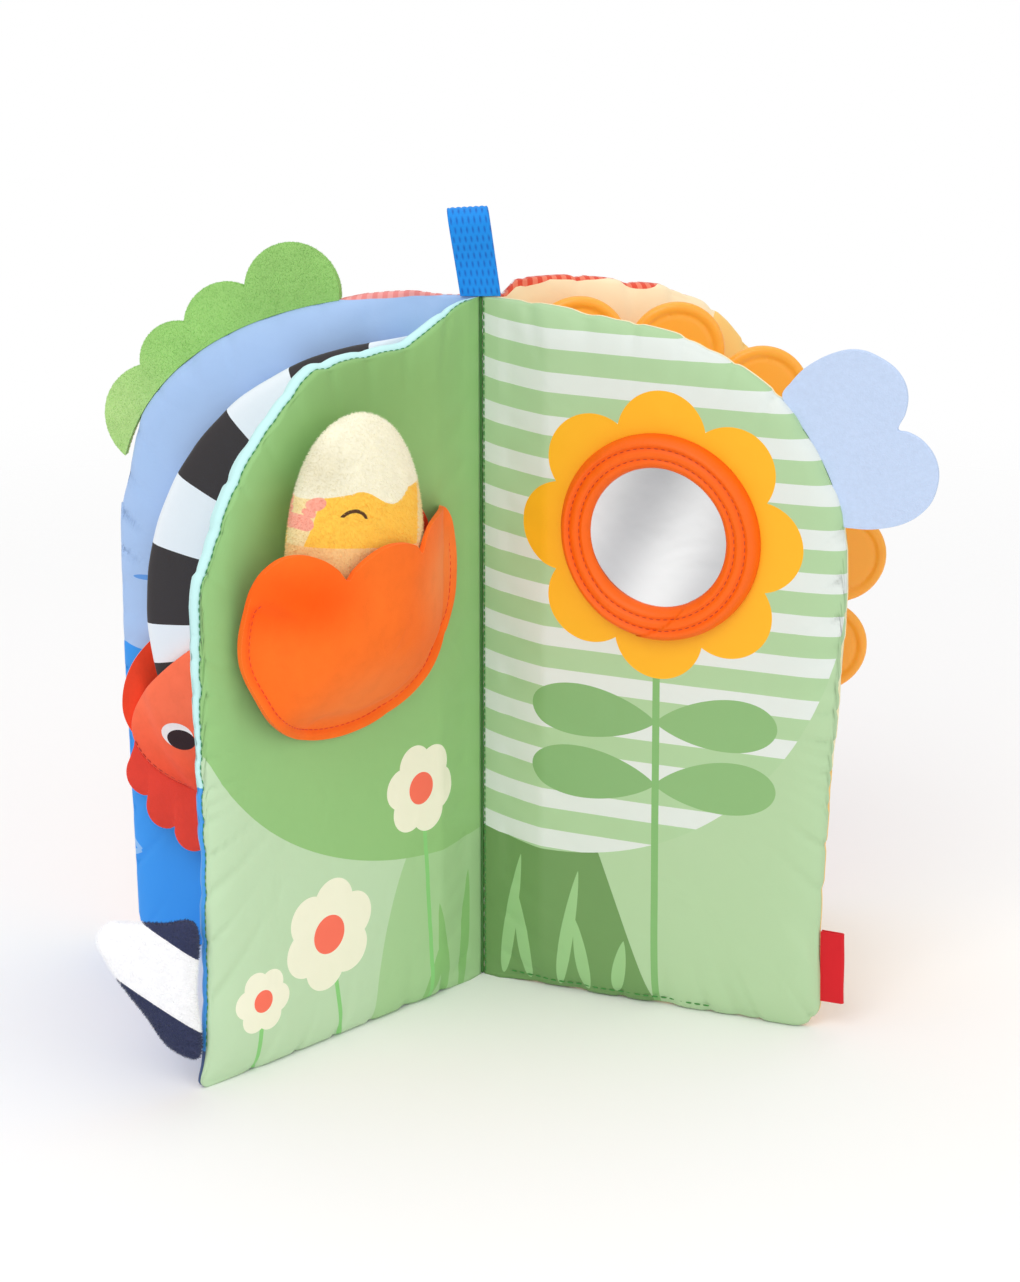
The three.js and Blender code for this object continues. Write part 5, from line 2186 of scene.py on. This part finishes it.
@dataclass
class Teether:
    """The moulded silicone teether: lobes in a C on a band, with two tabs sewn in the spine."""

    angle: float = 3.0
    middle: Place = (41.3, 140.8)
    radius: float = 74.2
    lobe_radius: float = 15.4
    pitch: float = 24.0
    first: float = -94.0
    lobes: int = 9
    half: float = 1.9
    sunk: float = 0.5
    groove: float = 0.8
    band_inner: float = 62.95
    band_outer: float = 77.95
    band_share: float = 0.4
    tab_width: float = 13.0
    voxel: float = 0.55
    lobe_rings: tuple[float, ...] = (
        0.12, 0.3, 0.42, 0.46, 0.5, 0.54, 0.58, 0.61, 0.64, 0.67, 0.7, 0.73, 0.755, 0.78, 0.805, 0.83, 0.87,
        0.91, 0.94, 0.965, 0.985, 0.997
    )

    def _point(self, place: Place, off: float) -> Vector:
        """A place of the teether's own plane, set off from it, in the frame's axes."""
        return Vector((*turned(place[0], off, math.radians(self.angle)), place[1]))

    def _at(self, number: float, radius: float) -> Place:
        """A place on the teether's round, by its number of lobes from the lower end."""
        return round_place(self.middle, radius, math.radians(self.first + self.pitch * number))

    def _lobe(self, reach: float) -> float:
        """One lobe's half thickness: a flat rim, a groove inside it and a sunk middle.

        Args:
            reach: the distance from the lobe's middle.

        Returns:
            The half thickness in millimetres.
        """
        share = reach / self.lobe_radius
        rim = self.half * math.sqrt(max(0.0, 1 - max(0.0, (share - 0.9) / 0.1) ** 2))
        groove = self.groove * math.exp(-(((share - 0.76) / 0.045) ** 2))
        return rim - groove - self.sunk * smoothstep(0.79, 0.72, share)

    def build(self) -> None:
        """Makes the teether as one moulded body."""
        look = SILICONE.material("orange_silicone", "#FFAD34")
        parts = [self._lobe_body(number, look) for number in range(self.lobes)]
        made = joined_meshes("teether_lobes", [*parts, self._band_body(look)], look)
        melt = made.modifiers.new("melt", "REMESH")
        melt.mode = "VOXEL"
        melt.voxel_size = self.voxel * MM
        smooth = made.modifiers.new("smooth", "SMOOTH")
        smooth.factor = 0.5
        smooth.iterations = 4
        plain_mesh(made).data.shade_smooth()
        tabs = [self._tab_body(number, look) for number in (0, self.lobes - 1)]
        whole = joined_meshes("teether_silicone", [made, *tabs], look)
        settle(whole, "teether", ["teether_ring"])

    def _lobe_body(self, number: int, look: Look) -> Piece:
        """Makes one lobe.

        Args:
            number: the lobe's number, from the lower end.
            look: its material.

        Returns:
            The lobe.
        """
        centre = self._at(number, self.radius)
        around = 72
        points: list[Vector] = []
        for side in (1, -1):
            points.append(self._point(centre, side * self._lobe(0.0)))
            for share in self.lobe_rings:
                reach = share * self.lobe_radius
                for k in range(around):
                    place = round_place(centre, reach, 2 * math.pi * k / around)
                    points.append(self._point(place, side * self._lobe(reach)))
        return mesh_object(f"lobe_{number}", points, ring_faces(around, len(self.lobe_rings)), [look])

    def _band_body(self, look: Look) -> Piece:
        """Makes the flat band behind the lobes.

        Args:
            look: its material.

        Returns:
            The band.
        """
        steps = 120
        points = [
            self._point(self._at((self.lobes - 1) * i / steps, radius), side * self.band_share * self.half)
            for side in (1, -1) for i in range(steps + 1) for radius in (self.band_inner, self.band_outer)
        ]
        return mesh_object("band", points, slab_faces(steps + 1, 2), [look])

    def _tab_body(self, number: int, look: Look) -> Piece:
        """Makes one tab between an end lobe and the spine.

        Args:
            number: the end lobe's number.
            look: its material.

        Returns:
            The tab.
        """
        end, height = self._at(number, self.radius)
        points = [
            self._point((r, height + up * self.tab_width / 2), side * half)
            for side in (1, -1) for r, half in ((3.4, 0.18), (8.0, 0.45), (end, 0.45)) for up in (-1, 1)
        ]
        return mesh_object(f"tab_{number}", points, slab_faces(3, 2), [look])


@dataclass
class SpineAndLoop:
    """The sewn spine and the folded webbing loop on top of it."""

    sewing: Sewing
    radius: float = 0.6
    height: float = 229.6
    width: float = 12.7
    thick: float = 1.4
    rise: float = 28.0
    eye: float = 6.6
    foot: float = 0.5
    base: float = 230.15
    lean: float = 8.5
    tip: float = 3.3

    def build(self) -> None:
        """Makes the spine's seam and the loop."""
        self._spine()
        self._loop()

    def _spine(self) -> None:
        """Makes the bound seam allowances, a thin twisted core between the leaves."""
        points: list[Vector] = []
        sides, steps = 20, 230
        for i in range(steps + 1):
            z = 0.3 + self.height * i / steps
            for k in range(sides):
                turn = 2 * math.pi * k / sides
                radius = self.radius + 0.06 * math.sin(3 * turn + z * 1.4)
                points.append(Vector((radius * math.cos(turn), radius * math.sin(turn), z)))
        look = RIBBON.material("green_seam", "#3F7434")
        made = mesh_object("spine_seam", points, tube_faces(steps + 1, sides), [look])
        settle(made, "mirror_leaf", ["spine_seam_tape"])

    def _centre_line(self) -> list[Place]:
        """The webbing's own line, seen from its edge: up one side, round the eye and down the other.

        Returns:
            The line's places.
        """
        neck, half = ((wide + self.thick) / 2 for wide in (self.foot, self.eye))
        middle = self.rise - self.thick / 2 - half
        low = self.rise * 0.3
        side: list[Place] = [(neck, 0.15), (neck, 4.0), (neck, low)]
        for share in (0.2, 0.4, 0.6, 0.8, 1.0):
            side.append((neck + (half - neck) * smoothstep(0, 1, share), low + (middle - low) * share))
        arc = [round_place((0.0, middle), half, math.pi * i / 16) for i in range(1, 16)]
        return even_steps(side + arc + [(-x, z) for x, z in reversed(side)], 340)

    def _weave(self, along: float, across: float) -> float:
        """The webbing's relief: short strands in columns, each column half a step further along.

        Args:
            along: the way along the tape.
            across: the way across it.

        Returns:
            The relief.
        """
        column, pick = math.cos(2 * math.pi * across / WEB_COLUMN), math.cos(math.pi * along / WEB_PICK)
        return 0.28 * (0.5 + 0.5 * column * pick) ** 0.6

    def _loop(self) -> None:
        """Makes the webbing, with its weave in its mesh."""
        line = self._centre_line()
        across_steps = 84
        points: list[Vector] = []
        page: list[Place] = []
        length = sum(math.dist(a, b) for a, b in zip(line, line[1:]))
        lean, tip = math.sin(math.radians(self.lean)), math.sin(math.radians(self.tip))
        for side in (1, -1):
            for i, (y, z) in enumerate(line):
                ahead, behind = line[min(i + 1, len(line) - 1)], line[max(i - 1, 0)]
                along = Vector((ahead[0] - behind[0], ahead[1] - behind[1])).normalized()
                run = length * i / (len(line) - 1)
                for k in range(across_steps + 1):
                    x = self.width * (k / across_steps - 0.5)
                    edge = min(1.0, (self.width / 2 - abs(x)) / 0.7)
                    page.append((x + self.width / 2, run))
                    thick = self.thick / 2 - 0.2 + self._weave(run, x + self.width / 2)
                    out = side * thick * (0.25 + 0.75 * dome(1 - edge))
                    up = z - along.x * out
                    tipped = x * tip * smoothstep(0.0, 12.0, up)
                    points.append(Vector((x - up * lean, y + along.y * out, self.base + up + tipped)))
        look = RIBBON.material("blue_webbing", paint_webbing)
        made = mesh_object("webbing", points, slab_faces(len(line), across_steps + 1), [look], page)
        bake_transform(made)
        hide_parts("webbing_loop")


@dataclass(frozen=True)
class Studio:
    """The floor, the lights and the camera."""

    camera_place: tuple[float, float, float] = (0.0092, -1.0511, 0.460)
    camera_pitch: float = 71.9
    camera_lens: float = 120.8
    sensor: float = 36.0
    ambient: float = 0.72
    floor_solid: float = 0.45
    floor_end: float = 0.8

    def build(self) -> None:
        """Makes them."""
        self._floor()
        self._lamps()
        self._world()
        self._camera()

    def _floor(self) -> None:
        """Makes a pale floor round the object, that fades into the white surround."""
        reach = self.floor_end
        mesh = bpy.data.meshes.new("floor")
        corners = [(-reach, -reach, 0), (reach, -reach, 0), (reach, reach, 0), (-reach, reach, 0)]
        mesh.from_pydata(corners, [], [(0, 1, 2, 3)])
        look = bpy.data.materials.new("pale_floor")
        look.use_nodes = True
        tree = look.node_tree
        tree.nodes.clear()
        shader = add_node(tree, "ShaderNodeBsdfDiffuse", links={"Color": srgb("#FAFAFA")})
        place = add_node(tree, "ShaderNodeTexCoord").outputs["Object"]
        distance = add_node(tree, "ShaderNodeVectorMath", {"operation": "LENGTH"}, {0: place})
        gone = add_node(
            tree, "ShaderNodeMapRange", {"interpolation_type": "SMOOTHSTEP"},
            {"Value": distance.outputs["Value"], "From Min": self.floor_solid, "From Max": self.floor_end}
        )
        clear = add_node(tree, "ShaderNodeBsdfTransparent")
        faded = add_node(
            tree, "ShaderNodeMixShader", links={0: gone.outputs[0], 1: shader.outputs[0], 2: clear.outputs[0]}
        )
        add_node(tree, "ShaderNodeOutputMaterial", links={"Surface": faded.outputs[0]})
        mesh.materials.append(look)
        added("floor", mesh)

    def _lamps(self) -> None:
        """Hangs a large soft lamp at the front left, a weaker one at the right and one above."""
        for name, place, power, size in (
            ("key", (-0.5, -1.5, 1.5), 13.0, 1.2), ("fill", (1.3, -1.2, 0.9), 4.0, 1.4),
            ("top", (0.0, 0.5, 1.9), 7.0, 1.6)
        ):
            data = bpy.data.lights.new(name, "AREA")
            data.energy = power
            data.size = size
            lamp = added(name, data)
            lamp.location = place
            lamp.rotation_euler = (Vector((0, 0, 0.12)) - Vector(place)).to_track_quat("-Z", "Y").to_euler()

    def _world(self) -> None:
        """Makes an even pale surround, white where the camera sees it."""
        world = bpy.data.worlds.new("surround")
        bpy.context.scene.world = world
        world.use_nodes = True
        tree = world.node_tree
        tree.nodes.clear()
        path = add_node(tree, "ShaderNodeLightPath")
        strength = add_node(
            tree, "ShaderNodeMapRange",
            links={"Value": path.outputs["Is Camera Ray"], "To Min": self.ambient, "To Max": 1.0}
        )
        back = add_node(
            tree, "ShaderNodeBackground", links={"Color": srgb("#FFFFFF"), "Strength": strength.outputs[0]}
        )
        add_node(tree, "ShaderNodeOutputWorld", links={"Surface": back.outputs[0]})

    def _camera(self) -> None:
        """Places the camera where the photograph was taken from."""
        data = bpy.data.cameras.new("camera")
        data.sensor_fit = "HORIZONTAL"
        data.sensor_width = self.sensor
        data.lens = self.camera_lens
        camera = added("camera", data)
        camera.location = self.camera_place
        camera.rotation_euler = (math.radians(self.camera_pitch), 0.0, 0.0)
        bpy.context.scene.camera = camera
        bpy.context.scene.view_settings.view_transform = "Standard"


def make_leaves() -> dict[str, Leaf]:
    """Names the four leaves with their prints.

    Returns:
        The leaves by their short names.
    """
    gingham = SATIN.material("red_gingham", paint_gingham)
    facing, away = Face.TOWARDS_Y, Face.AWAY_FROM_Y
    return {
        "mirror": Leaf(
            "mirror_leaf", -22.2,
            {
                facing: SATIN.material("cream_print", paint_cream_back),
                away: SATIN.material("meadow_print_right", paint_mirror_page)
            },
            {facing: "back_panel", away: "front_panel"}, {facing: "cream_print", away: "meadow_print"}, 11.0,
            LeafShape(
                sag=((0, 0), (45, 0), (65, -2.8), (100, -5), (114, -4), (121, -4), (122, 0)), foot_in=4.2
            ),
            away
        ),
        "chick": Leaf(
            "chick_leaf", 225.8,
            {
                facing: SATIN.material("meadow_print_left", paint_chick_page),
                away: SATIN.material("sea_print_back", paint_sea_back)
            },
            {facing: "front_panel", away: "back_panel"}, {facing: "meadow_print", away: "sea_print"}, 23.0,
            LeafShape(
                sag=(
                    (0, 0), (10, 0.5), (15, 1.4), (22, 3.4), (28, 5.4), (33, 6.7), (38, 6), (48, 4.4),
                    (58, 2.1), (68, -0.7), (73, -2.5), (78, -2.1), (82, -1.1), (90, 0.4), (96, 1.3), (101, 3),
                    (106, 4.5), (110, 5.8), (114, 7.2), (118, 6), (122, 0)
                ),
                corner=3.5, flare=4.0
            ),
            facing, 2.2
        ),
        "sea": Leaf(
            "sea_cover", 165.9, {facing: SATIN.material("sea_print_inner", paint_sea_inner), away: gingham},
            {facing: "inner_panel", away: "outer_panel"}, {facing: "sea_print", away: "red_gingham"}, 37.0,
            LeafShape(
                sag=(
                    (0, 0), (12, 0), (21, -1.3), (36, -1.3), (46, -0.5), (113, -0.5), (115, 2), (117, 6.5),
                    (119, 9.5), (121, 8), (122, 0)
                ),
                draw_in=-0.9, foot_in=1.6, pucker=0.2
            )
        ),
        "sun": Leaf(
            "sun_cover", 28.0, {facing: gingham, away: SATIN.material("peach_print", paint_sun_inner)},
            {facing: "outer_panel", away: "inner_panel"}, {facing: "red_gingham", away: "peach_print"}, 53.0,
            LeafShape(
                sag=(
                    (0, 0.3), (8, 0.3), (12.5, -4.4), (30, -5.2), (47, -5), (54, -4.8), (66, -6.4),
                    (81, -6.2), (90, -4.0), (98, -0.6), (107, 1.5), (122, 0)
                )
            )
        )
    }


def main() -> None:
    """Builds the book and its studio."""
    logging.basicConfig(level=logging.INFO, format="%(message)s")
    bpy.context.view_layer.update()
    Studio().build()
    sewing = Sewing()
    leaves = make_leaves()
    MirrorPage(leaves["mirror"], sewing).build()
    ChickPage(leaves["chick"], sewing).build()
    SeaCover(leaves["sea"], sewing).build()
    SunCover(leaves["sun"]).build()
    Teether().build()
    SpineAndLoop(sewing).build()


if __name__ == "__main__":
    main()
